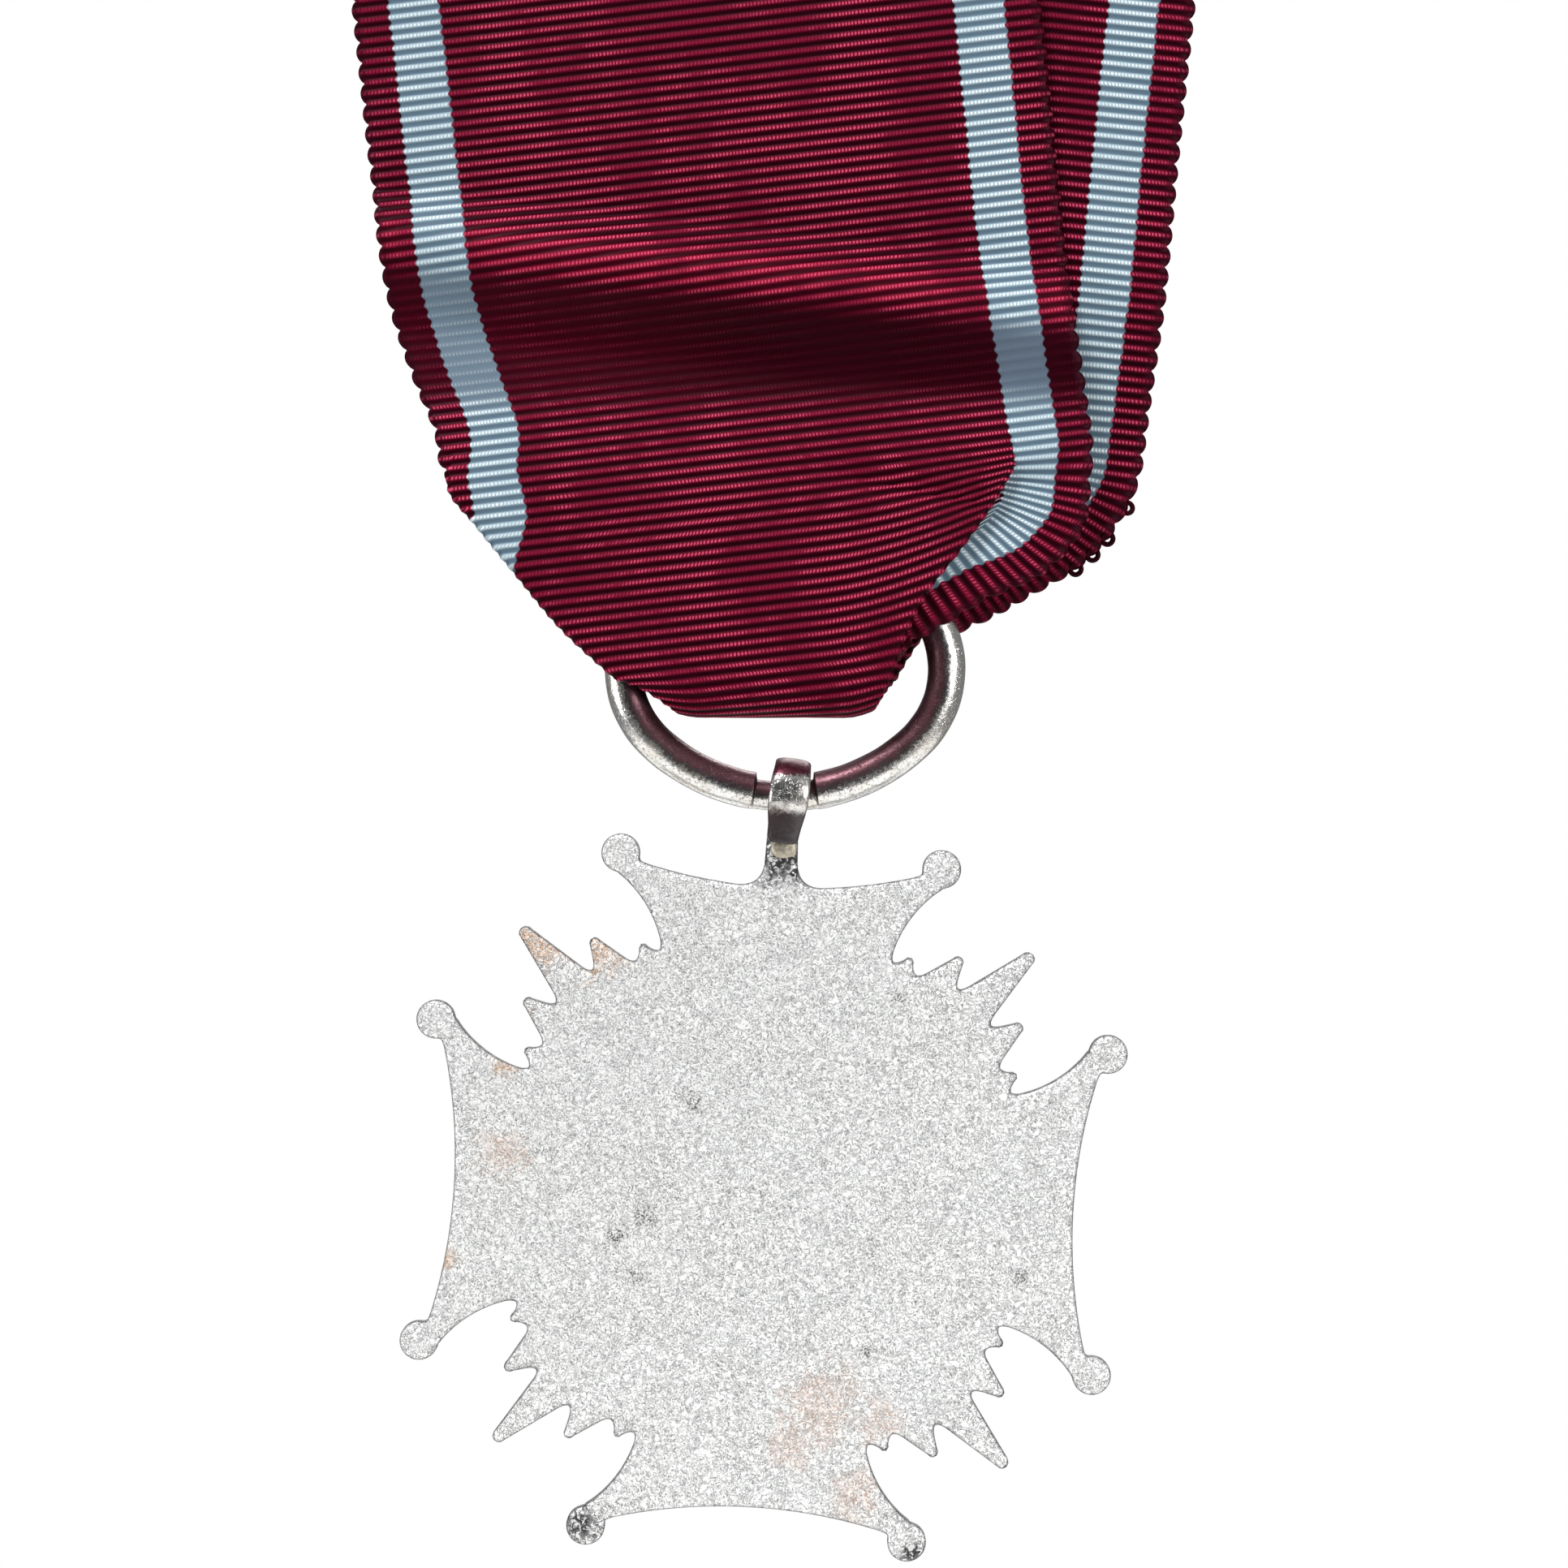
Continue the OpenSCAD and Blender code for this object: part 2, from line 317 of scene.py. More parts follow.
# The struck relief of the enamelled face
def plateFront(x, z):
    fx, fz = folded(x, z)
    r = np.hypot(x, z)
    angle = np.degrees(np.arctan2(fz, np.maximum(fx, 1e-6))) - 45
    wave = np.abs(((angle / cross["rayStep"] + 0.5) % 1) - 0.5) * 2
    face = cross["valley"] + cross["ridge"] * (1 - wave)
    arm = toOutline(armOutline(), fx, fz)
    rim = blendStep(-arm, -0.02, 0.14)
    face = face * (1 - rim) + cross["rim"] * rim
    cell = blendStep(-arm, cross["rimWidth"] - 0.1, cross["rimWidth"] + 0.04)
    face = face * (1 - cell) + cross["floor"] * cell
    middle = 1 - blendStep(r, *cross["bossEdge"])
    face = face * (1 - middle) + cross["boss"] * middle
    ball = np.hypot(fx - cross["ballAt"][0], fz - cross["ballAt"][1])
    dome = cross["domeFrom"] + np.sqrt(np.clip(cross["ball"] ** 2 - ball ** 2, 0, None))
    face = np.where(ball < cross["ball"] + 0.02, dome, face)
    stem = blendStep(z, 17.2, 17.8) * (1 - blendStep(np.abs(x), 1.5, 2.0))
    return face * (1 - stem) + cross["stemFace"] * stem


# A solid on a fine square grid, its edge pulled onto the outline and its faces at their own heights
def reliefSolid(distance, front, back, lowX, lowZ, highX, highZ, pitch, edge):
    xs = np.arange(lowX, highX + pitch, pitch)
    zs = np.arange(lowZ, highZ + pitch, pitch)
    x, z = np.meshgrid(xs, zs, indexing="ij")
    d = distance(x, z)
    solid = (d[:-1, :-1] < 0) & (d[1:, :-1] < 0) & (d[:-1, 1:] < 0) & (d[1:, 1:] < 0)
    used = np.zeros(d.shape, bool)
    whole = np.zeros(d.shape, int)
    for i, j in ((0, 0), (1, 0), (0, 1), (1, 1)):
        part = (slice(i, solid.shape[0] + i), slice(j, solid.shape[1] + j))
        used[part] |= solid
        whole[part] += solid
    rim = used & (whole < 4)
    px, pz = x.copy(), z.copy()
    for _ in range(3):
        step = 0.02
        here = distance(px[rim], pz[rim])
        gx = distance(px[rim] + step, pz[rim]) - distance(px[rim] - step, pz[rim])
        gz = distance(px[rim], pz[rim] + step) - distance(px[rim], pz[rim] - step)
        size = np.maximum(np.hypot(gx, gz), 1e-6)
        px[rim] -= np.clip(here, -pitch, pitch) * gx / size
        pz[rim] -= np.clip(here, -pitch, pitch) * gz / size
    n = int(used.sum())
    index = np.full(d.shape, -1)
    index[used] = np.arange(n)
    ux, uz = px[used], pz[used]
    fade = np.clip(1 + distance(ux, uz) / edge, 0, 1)
    drop = edge * (1 - np.sqrt(np.clip(1 - fade ** 2, 0, 1)))
    yf = front(ux, uz) - drop
    yb = back(ux, uz) + drop
    quads = np.stack([index[:-1, :-1], index[1:, :-1], index[1:, 1:], index[:-1, 1:]], -1)[solid]
    edges = np.concatenate([quads[:, [k, (k + 1) % 4]] for k in range(4)])
    _, first, count = np.unique(np.sort(edges, axis=1), axis=0, return_index=True, return_counts=True)
    rimEdges = edges[first[count == 1]]
    a, b = rimEdges[:, 0], rimEdges[:, 1]
    sides = np.stack([b, a, a + n, b + n], -1)
    points = np.concatenate([np.stack([ux, yb, uz], -1), np.stack([ux, yf, uz], -1)])
    return points.tolist(), quads.tolist() + (quads[:, ::-1] + n).tolist() + sides.tolist()


# Finishes
# Where the metal is stained, as places on the back of the cross with a reach: X, Z, reach
rustSpots = [(-12.6, 14.2, 1.5), (-9.4, 13.6, 1.7), (-13.9, 10.4, 0.9), (-14.6, 7.5, 0.9), (-17.6, -3.4, 0.8)]
pinkSpots = [(3.2, -11.4, 2.6), (6.4, -12.6, 1.6), (1.4, -14.0, 1.4), (5.0, -16.6, 1.7), (-14.5, 2.6, 1.7)]
pitSpots = [(7.6, 11.2, 0.5), (-8.2, -2.2, 0.7), (-6.6, -1.0, 0.8), (-3.9, 5.4, 0.8), (14.4, -4.4, 0.5),
            (-7.2, -4.4, 0.6), (5.8, -8.6, 0.5), (-10.4, 14.6, 0.4)]
sootSpots = [(-10.2, -18.3, 1.5), (0.95, 19.0, 1.8), (8.3, -19.8, 0.7)]


def grainedSilver():
    f = Finish("grained silver")
    at = f.place()
    _, y, _ = f.split(at)
    struck = y.ramp(0.15 * mm, 0.6 * mm)
    worm = f.noise(0.3, 2.5, 0.6, 1.1, at)
    fine = f.noise(0.11, 2.0, 0.6, 0.3, at)
    patch = f.noise(5.5, 3.0, 0.6, 0.4, at)
    vein = (worm - 0.5).size().ramp(0.075, 0.01)
    pock = fine.ramp(0.44, 0.32)
    dark = (vein * fine.ramp(0.35, 0.65, 0.35, 1.0) + pock * 0.6).least(1.0) * (1 - struck * 0.75)
    clean = f.mix(struck * patch.ramp(0.3, 0.7, 0.7, 1.0), colour(0.95, 0.95, 0.945), colour(0.5, 0.5, 0.49))
    tint = f.mix(dark * 0.92, clean, colour(0.13, 0.13, 0.132))
    cool = f.mix(patch.ramp(0.35, 0.7) * 0.08, tint, colour(0.8, 0.83, 0.86))
    rust = stain(f, at, rustSpots, 0.9)
    brown = f.mix(rust * fine.ramp(0.38, 0.62, 0.12, 0.85), cool, colour(0.5, 0.27, 0.12))
    pink = stain(f, at, pinkSpots, 1.3)
    warm = f.mix(pink * fine.ramp(0.4, 0.62, 0.08, 0.6), brown, colour(0.55, 0.34, 0.24))
    pit = stain(f, at, pitSpots, 0.42)
    pitted = f.mix(pit * fine.ramp(0.48, 0.6) * 0.9, warm, colour(0.05, 0.045, 0.04))
    sooty = stain(f, at, sootSpots, 0.9)
    black = f.mix(sooty * worm.ramp(0.43, 0.53, 0.25, 1.0), pitted, colour(0.045, 0.045, 0.047))
    # Painted shade: a thin dark outline along the edges of the back
    inward = f.split(f.add("ShaderNodeUVMap", {"uv_map": "edge"}, {}))[0]
    edgeShade = inward.ramp(0.2, 0.0) * (1 - struck)
    base = f.mix(edgeShade * fine.ramp(0.3, 0.7, 0.6, 1.0), black, colour(0.07, 0.07, 0.075))
    height = 1 - dark + fine * 0.5
    rough = f.mix(struck, 0.48 + dark * 0.2 + rust * 0.15, 0.3 + dark * 0.2)
    metal = (1 - (rust + pink).least(1.0) * 0.5) * struck.ramp(0.0, 1.0, 0.62, 1.0)
    return f.close({"Base Color": base, "Metallic": metal, "Roughness": rough,
                    "Normal": f.bump(height, 0.06, 1.0)})


# How strongly a group of spots marks a place, with a ragged edge
def stain(f, at, spots, ragged):
    x, y, z = f.split(at)
    wobble = f.noise(ragged, 3.0, 0.65, 0.6, at)
    total = None
    for sx, sz, reach in spots:
        dx = (x - sx * mm) / (reach * mm)
        dz = (z - (sz + crossZ) * mm) / (reach * mm)
        far = (dx * dx + dz * dz) ** 0.5 + (wobble - 0.5) * 2.4
        one = far.ramp(1.15, 0.3)
        total = one if total is None else total.most(one)
    back = y.ramp((cross["back"] + 0.5) * mm, (cross["back"] + 0.1) * mm)
    return total * back


def polishedSilver(name, tone, wear, brownSpots=(), shaded=None):
    f = Finish(name)
    at = f.place()
    speck = f.noise(0.16, 3.0, 0.7, 0.2, at)
    cloud = f.noise(1.9, 3.0, 0.6, 0.5, at)
    scratch = f.noise(0.5, 2.0, 0.5, 3.0, at)
    dirt = speck.ramp(0.5, 0.66) * cloud.ramp(0.3, 0.7, 0.35, 1.0)
    base = f.mix(dirt * wear, colour(*tone), colour(0.1, 0.095, 0.095))
    warm = f.mix(cloud.ramp(0.45, 0.75) * 0.4, base, colour(0.6, 0.52, 0.42))
    rough = 0.14 + dirt * 0.3 + cloud.ramp(0.35, 0.7) * 0.1
    # Darker brown over the given spots
    if brownSpots:
        brown = stain(f, at, brownSpots, 1.2)
        warm = f.mix(brown * speck.ramp(0.66, 0.5, 0.6, 0.95), warm, colour(0.13, 0.085, 0.075))
        rough = rough + brown * 0.12
    metal = 1.0
    # Painted reflection: dark grey, then claret where the ribbon is reflected, with rougher, less metallic
    # metal there
    if shaded:
        darkReflection, claret = shaded(f, at, speck)
        under = f.mix(claret, colour(0.032, 0.029, 0.031), colour(0.06, 0.008, 0.018))
        warm = f.mix(darkReflection, warm, under)
        rough = rough + darkReflection * 0.16
        metal = 1 - darkReflection * 0.25
    height = speck * 0.7 + scratch.ramp(0.48, 0.52) * 0.3
    return f.close({"Base Color": warm, "Metallic": metal, "Roughness": rough,
                    "Normal": f.bump(height, 0.03, 0.55)})


# Painted reflection: the ribbon's dark claret reflection inside the ring and over the eye, with a band of
# painted dark reflection beside it and on the eye's lower flat, painted in as a rougher, less metallic tint
# so it stays put when they move. Each gives the painted dark reflection and how much of it is claret.
def insideRing(f, at, speck):
    x, _, z = f.split(at)
    out = f.split(f.add("ShaderNodeTexCoord", {}, {}, "Normal"))
    reach = 7.5 * mm
    inward = ((ringX * mm - x) * out[0] + ((ringZ + crossZ) * mm - z) * out[2]) / reach
    ragged = inward + (speck - 0.5) * 0.9
    darkReflection = ragged.ramp(-0.42, -0.02, 0.0, 0.96)
    claret = ragged.ramp(-0.1, 0.3)
    return darkReflection, claret


def topOfEye(f, at, speck):
    _, y, z = f.split(at)
    height = z / mm - crossZ + (speck - 0.5) * 0.9
    # Painted reflection: claret over the top of the eye, lighter at its very top, and dark on its lower flat
    # at the back
    over = height.ramp(23.3, 23.75) * height.ramp(24.75, 24.45, 0.45, 1.0)
    under = height.ramp(21.75, 21.35) * y.ramp(-0.6 * mm, -0.9 * mm)
    darkReflection = (over + under * 0.93).least(1.0)
    claret = height.ramp(23.5, 23.8) + under * 0.12
    return darkReflection, claret


# Clear red glass over metal that is engine-turned in rays and rings
def redEnamel():
    f = Finish("red enamel")
    at = f.place()
    depth = f.noise(2.6, 2.0, 0.5, 0.2, at)
    grain = f.cells(0.45, at)
    deep = f.mix(depth.ramp(0.3, 0.7), colour(0.3, 0.003, 0.01), colour(0.42, 0.006, 0.016))
    speckled = f.mix(grain.ramp(0.0, 0.5) * 0.25, deep, colour(0.2, 0.001, 0.006))
    x, _, z = f.split(at)
    up = z - crossZ * mm
    rayCuts = (x.math("ARCTAN2", x, up) * 72).sine().ramp(-1.0, 1.0)
    ringCuts = ((x * x + up * up) ** 0.5 * (2 * math.pi / (1.1 * mm))).sine().ramp(-1.0, 1.0)
    base = f.mix(rayCuts * 0.5 + ringCuts * 0.25, speckled, colour(0.12, 0.0005, 0.003))
    return f.close({"Base Color": base, "Roughness": 0.1 + depth * 0.05, "Coat Weight": 0.6,
                    "Coat Roughness": 0.04, "IOR": 1.54, "Normal": f.bump(depth, 0.04, 0.35)})


def whiteEnamel():
    f = Finish("white enamel")
    at = f.place()
    cloud = f.noise(1.4, 3.0, 0.55, 0.2, at)
    pores = f.cells(0.7, at)
    base = f.mix(cloud.ramp(0.3, 0.7), colour(0.86, 0.86, 0.83), colour(0.93, 0.93, 0.92))
    spotted = f.mix(pores.ramp(0.12, 0.02) * 0.35, base, colour(0.45, 0.43, 0.4))
    return f.close({"Base Color": spotted, "Roughness": 0.12 + cloud * 0.08, "Coat Weight": 0.5,
                    "Coat Roughness": 0.05, "Normal": f.bump(cloud, 0.03, 0.3)})


def dullSolder():
    f = Finish("solder")
    at = f.place()
    blot = f.noise(0.3, 3.0, 0.6, 0.4, at)
    base = f.mix(blot.ramp(0.35, 0.65), colour(0.52, 0.48, 0.38), colour(0.34, 0.3, 0.23))
    return f.close({"Base Color": base, "Metallic": 0.7, "Roughness": 0.42 + blot * 0.2,
                    "Normal": f.bump(blot, 0.05, 0.6)})


grained = grainedSilver()
polished = polishedSilver("worn silver wire", (0.8, 0.79, 0.77), 0.85, shaded=insideRing)
# The eye: darker brown over two spots at its lower end
eyeSilver = polishedSilver("rolled silver", (0.72, 0.71, 0.69), 0.8,
                           [(0.1, 20.6, 1.5), (0.6, 21.0, 1.2)], topOfEye)
bright = polishedSilver("struck silver", (0.66, 0.66, 0.64), 0.6)
redFill = redEnamel()
whiteFill = whiteEnamel()
solder = dullSolder()
print("finishes ready")


def tidyFaces(piece):
    work = bmesh.new()
    work.from_mesh(piece.data)
    bmesh.ops.recalc_face_normals(work, faces=work.faces)
    work.to_mesh(piece.data)
    work.free()
    return piece


def plateBack(x, z):
    swell = 0.012 * np.sin(x * 0.9 + 0.4) * np.cos(z * 0.8) + 0.006 * np.sin(x * 3.1 + z * 2.3)
    return cross["back"] + swell


# Each corner of a mesh gets two plain numbers that its finish can read back
def mark(piece, name, values):
    mesh = piece.data
    corners = np.zeros(len(mesh.loops), int)
    mesh.loops.foreach_get("vertex_index", corners)
    mesh.uv_layers.new(name=name).data.foreach_set("uv", np.asarray(values)[corners].ravel())


points, faces = reliefSolid(toPlate, plateFront, plateBack, -21, -21, 21, 21.4,
                            cross["pitch"], cross["edge"])
plate = tidyFaces(addMesh("cross_plate", hung(points), faces, grained, "cross"))
flat = np.array(points)
inward = np.clip(-toPlate(flat[:, 0], flat[:, 2]) / 0.5, 0, 1)
mark(plate, "edge", np.stack([inward, 0 * inward], -1))
print("cross plate", len(plate.data.polygons), "faces")
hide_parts("cross_body")


# Closed rings of points, one after another; capped at both ends, or joined end to end.
def skin(rings, joined=False):
    count, sides = len(rings), len(rings[0])
    points = [p for ring in rings for p in ring]
    faces = []
    for i in range(count if joined else count - 1):
        j = (i + 1) % count
        for k in range(sides):
            m = (k + 1) % sides
            faces.append([i * sides + k, i * sides + m, j * sides + m, j * sides + k])
    if not joined:
        faces += [list(range(sides - 1, -1, -1)), [(count - 1) * sides + k for k in range(sides)]]
    return points, faces


# The rolled eye: the strip that leaves the stem, goes over the ring and comes down the back
rolled = {"shift": 0.25, "up": 22.65, "lean": 5, "middle": 1.65, "thick": 0.6, "wide": 2.24,
          "topWide": 2.0, "endWide": 1.72, "footWide": 1.6, "corner": 3.2, "sides": 40}


def eyePath():
    r = rolled["middle"]
    front = [(0.78, -2.45), (0.95, -2.0), (1.22, -1.4)]
    turn = [(r * math.cos(math.radians(a)), r * math.sin(math.radians(a))) for a in range(-26, 207, 4)]
    back = [(-1.41, -1.05), (-1.28, -1.45), (-1.12, -1.9), (-1.0, -2.3)]
    tip = (0.3, 0.5, 0.65, 0.76, 0.84, 0.9, 0.94, 0.97, 0.99, 1.0)
    back += [(-1.0 + 0.07 * t, -2.3 - 0.49 * t) for t in tip]
    return front + turn + back


def eyeWidth(y, z, left):
    top = blendStep(z, 0.4, 1.7)
    low = 1 - blendStep(z, -2.6, -0.4)
    wide = rolled["wide"] + (rolled["topWide"] - rolled["wide"]) * top
    if y >= 0:
        wide += (rolled["footWide"] - rolled["wide"]) * (1 - blendStep(z, -1.9, -0.3))
    if y < 0:
        wide += (rolled["endWide"] - rolled["wide"]) * low
        end = min(left / 0.34, 1)
        wide -= 0.66 * (1 - math.sqrt(1 - (1 - end) ** 2))
    return wide


def eyeRings():
    path = eyePath()
    steps = [math.dist(a, b) for a, b in zip(path, path[1:])]
    left = [sum(steps[i:]) for i in range(len(path))]
    turned = Matrix.Rotation(math.radians(rolled["lean"]), 3, "Y")
    rings = []
    for i, (y, z) in enumerate(path):
        (ay, az), (by, bz) = path[max(i - 1, 0)], path[min(i + 1, len(path) - 1)]
        size = math.hypot(by - ay, bz - az)
        outY, outZ = (bz - az) / size, -(by - ay) / size
        wide = eyeWidth(y, z, left[i]) / 2
        blunt = min(left[i] / 0.14, 1) if y < 0 else 1
        thick = rolled["thick"] / 2 * (0.35 + 0.65 * math.sqrt(1 - (1 - blunt) ** 2))
        ring = []
        for k in range(rolled["sides"]):
            a = 2 * math.pi * (k + 0.5) / rolled["sides"]
            c, s = math.cos(a), math.sin(a)
            power = 2 / rolled["corner"]
            across = math.copysign(abs(c) ** power, c) * wide
            out = math.copysign(abs(s) ** power, s) * thick
            out += 0.05 * (1 - (across / wide) ** 2) * (1 if s > 0 else 0)
            uneven = 0.02 * noise.noise(Vector((across * 1.3, y * 1.1, z * 1.1 + 5)))
            p = turned @ Vector((across, y + outY * (out + uneven), z + outZ * (out + uneven)))
            ring.append((p.x + rolled["shift"], p.y, p.z + rolled["up"]))
        rings.append(ring)
    return rings


points, faces = skin(eyeRings())
tidyFaces(addMesh("rolled_eye", hung(points), faces, eyeSilver, "cross"))
print("rolled eye", len(faces), "faces")

# The solder under the eye's free end
dab = {"at": (0.12, -0.36, 19.56), "half": (0.74, 0.26, 0.52), "across": 48, "up": 32}


def lump(part):
    rings = []
    for i in range(1, part["up"]):
        a = math.pi * i / part["up"]
        ring = []
        for k in range(part["across"]):
            b = 2 * math.pi * k / part["across"]
            way = Vector((math.sin(a) * math.cos(b), math.cos(a), math.sin(a) * math.sin(b)))
            square = [math.copysign(abs(v) ** 0.75, v) for v in way]
            grow = 1 + 0.12 * noise.noise(way * 1.9 + Vector((3, 1, 7)))
            ring.append(tuple(m + h * s * grow for m, h, s in zip(part["at"], part["half"], square)))
        rings.append(ring)
    return rings


points, faces = skin(lump(dab))
eyeDab = tidyFaces(addMesh("eye_dab", hung(points), faces, solder, "cross"))
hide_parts("eye_solder")


# The four enamelled arms, each a shallow dome of glass in its rimmed cell
arm = {"inset": 0.58, "middle": 6.48, "low": 0.84, "edge": 1.2, "high": 1.42, "round": 1.3,
       "halfWide": 9, "near": 6, "far": 18, "pitch": 0.16}


def enamelPiece(quarter):
    turn = math.radians(-90 * quarter)
    c, s = math.cos(turn), math.sin(turn)

    def local(x, z):
        return x * c + z * s, -x * s + z * c

    def distance(x, z):
        lx, lz = local(x, z)
        inside = toOutline(armOutline(False), lx, lz) + arm["inset"]
        return np.maximum(inside, arm["middle"] - np.hypot(x, z))

    def front(x, z):
        deep = np.clip(-distance(x, z) / arm["round"], 0, 1)
        dome = np.sqrt(1 - (1 - deep) ** 2)
        swell = 0.006 * np.sin(x * 1.7) * np.sin(z * 1.3)
        return arm["edge"] + (arm["high"] - arm["edge"]) * dome + swell

    def back(x, z):
        return np.full(x.shape, arm["low"])

    wide, near, far = arm["halfWide"], arm["near"], arm["far"]
    corners = [((-wide, near), (wide, far)), ((near, -wide), (far, wide)),
               ((-wide, -far), (wide, -near)), ((-far, -wide), (-near, wide))]
    low, high = corners[quarter]
    return reliefSolid(distance, front, back, *low, *high, arm["pitch"], 0.06)


for quarter, node in enumerate(armNodes):
    points, faces = enamelPiece(quarter)
    glass = tidyFaces(addMesh("glass_" + node[7:], hung(points), faces, redFill, "cross"))
    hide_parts(node)
print("enamelled arms ready")


# Turned parts of the medallion: outline as radius and height, with beads if wanted
medallion = {"foot": 1.39, "face": 2.5, "cell": 2.18, "around": 720, "beads": 90, "beadFrom": 1.9}


def turnedPart(outline, around, beads=0, beadAt=(0, 0), beadHigh=0.0):
    rings = []
    for k in range(around):
        a = 2 * math.pi * k / around
        swell = abs(math.sin(a * beads / 2)) if beads else 0
        ring = []
        for r, y in outline:
            near = 1 - ((r - beadAt[0]) / beadAt[1]) ** 2 if beads else 0
            rise = beadHigh * math.sqrt(near) * swell ** 0.5 if near > 0 and y > medallion["beadFrom"] else 0
            ring.append((r * math.cos(a), y + rise, r * math.sin(a)))
        rings.append(ring)
    return skin(rings, joined=True)


def spread(first, last, count):
    return [tuple(a + (b - a) * i / count for a, b in zip(first, last)) for i in range(count)]


def rimsOutline():
    foot, cell, face = medallion["foot"], medallion["cell"], medallion["face"]
    under = spread((0.3, foot), (6.42, foot), 2)
    side = [(6.42, foot), (6.56, 1.46), (6.6, 1.6), (6.6, 2.2), (6.58, 2.29)]
    beaded = spread((6.56, 2.32), (6.16, 2.32), 10) + [(6.16, 2.34), (6.1, 2.34), (6.07, 2.3), (6.06, cell)]
    inner = [(4.74, cell), (4.73, 2.44), (4.69, 2.49), (4.62, face), (4.4, face), (4.33, 2.49), (4.29, 2.44)]
    return under + side + beaded + inner + [(4.28, cell), (0.3, cell)]


points, faces = turnedPart(rimsOutline(), medallion["around"], medallion["beads"], (6.36, 0.215), 0.2)
disc = tidyFaces(addMesh("medallion_rims", hung(points), faces, bright, "cross"))
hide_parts("medallion_disc")


def glassRing(name, inner, outer, low, edge, high, material, node):
    profile = [(inner, low), (inner, edge)]
    for i in range(1, 12):
        t = i / 12
        rise = math.sqrt(math.sin(math.pi * t)) if inner > 1 else math.sqrt(1 - t * t)
        profile.append((inner + (outer - inner) * t, edge + (high - edge) * rise))
    profile += [(outer, edge), (outer, low)]
    points, faces = turnedPart(profile, 360)
    ring = tidyFaces(addMesh(name, hung(points), faces, material, "cross"))
    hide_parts(node)


glassRing("glass_white", 4.75, 6.05, 2.17, 2.33, 2.42, whiteFill, "medallion_enamel_white")
glassRing("glass_middle", 0.25, 4.27, 2.17, 2.3, 2.42, redFill, "medallion_enamel_red")

# The rosette: eight petals round a boss
rosette = {"petals": 8, "reach": 3.2, "root": 0.5, "half": 0.6, "boss": 0.82, "low": 2.3, "pitch": 0.055}


def toRosette(x, z):
    r = np.hypot(x, z)
    part = 2 * math.pi / rosette["petals"]
    a = (np.arctan2(x, z) + part / 2) % part - part / 2
    px, pz = r * np.sin(a), r * np.cos(a)
    long = (rosette["reach"] - rosette["root"]) / 2
    off = (long ** 2 - rosette["half"] ** 2) / (2 * rosette["half"])
    radius = off + rosette["half"]
    mid = rosette["root"] + long
    petal = np.maximum(toRound(px, pz, (-off, mid), radius), toRound(px, pz, (off, mid), radius))
    return filleted(petal, r - rosette["boss"], 0.12)


def rosetteFront(x, z):
    d = np.clip(-toRosette(x, z) / 0.5, 0, 1)
    r = np.hypot(x, z)
    part = 2 * math.pi / rosette["petals"]
    a = (np.arctan2(x, z) + part / 2) % part - part / 2
    rib = np.exp(-(r * np.sin(a) / 0.07) ** 2) * blendStep(r, 0.9, 1.3)
    face = 2.5 + 0.26 * np.sqrt(1 - (1 - d) ** 2) - 0.07 * rib
    boss = np.sqrt(np.clip(1 - (r / rosette["boss"]) ** 2, 0, 1))
    return np.maximum(face, 2.56 + 0.3 * boss)


def rosetteBack(x, z):
    return np.full(x.shape, rosette["low"])


points, faces = reliefSolid(toRosette, rosetteFront, rosetteBack, -3.4, -3.4, 3.4, 3.4,
                            rosette["pitch"], 0.04)
flower = tidyFaces(addMesh("rosette", hung(points), faces, bright, "cross"))
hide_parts("medallion_emblem")
print("medallion ready")


# Kept as drawn: the solder between medallion and cross
for kept in bpy.data.objects:
    if kept.type == "MESH" and kept.name.startswith("medallion_solder"):
        kept.data.materials.clear()
        kept.data.materials.append(solder)


# The oval ring, drawn from four arcs, with the thinner neck the eye turns on
wire = {"halfWide": 9.05, "halfHigh": 6.95, "sideArc": 5.6, "thick": 1.05, "neck": 0.83, "neckLong": 3.6,
        "shoulder": 0.16, "steps": 360, "sides": 48}


def ringMiddle():
    off = wire["halfWide"] - wire["sideArc"]
    gap = wire["halfHigh"] - wire["sideArc"]
    deep = (off ** 2 - gap ** 2) / (2 * gap)
    big = wire["halfHigh"] + deep
    turn = math.atan2(off, deep)
    arcs = [((0, -deep), big, math.pi / 2 + turn, math.pi / 2 - turn),
            ((off, 0), wire["sideArc"], math.pi / 2 - turn, -math.pi / 2 + turn),
            ((0, deep), big, -math.pi / 2 + turn, -math.pi / 2 - turn),
            ((-off, 0), wire["sideArc"], -math.pi / 2 - turn, -3 * math.pi / 2 + turn)]
    whole = sum(r * abs(a - b) for _, r, a, b in arcs)
    line = []
    for (x, z), r, a, b in arcs:
        count = max(int(wire["steps"] * r * abs(a - b) / whole), 8)
        for i in range(count):
            t = a + (b - a) * i / count
            line.append((x + r * math.cos(t), z + r * math.sin(t), math.cos(t), math.sin(t)))
    # extra stations at both shoulders of the neck
    fine = []
    for p, q in zip(line, line[1:] + line[:1]):
        close = p[1] < 0 and abs(abs(p[0]) - wire["neckLong"] / 2) < 0.6
        parts = 5 if close else 1
        for k in range(parts):
            t = k / parts
            fine.append(tuple(a + (b - a) * t for a, b in zip(p, q)))
    return fine


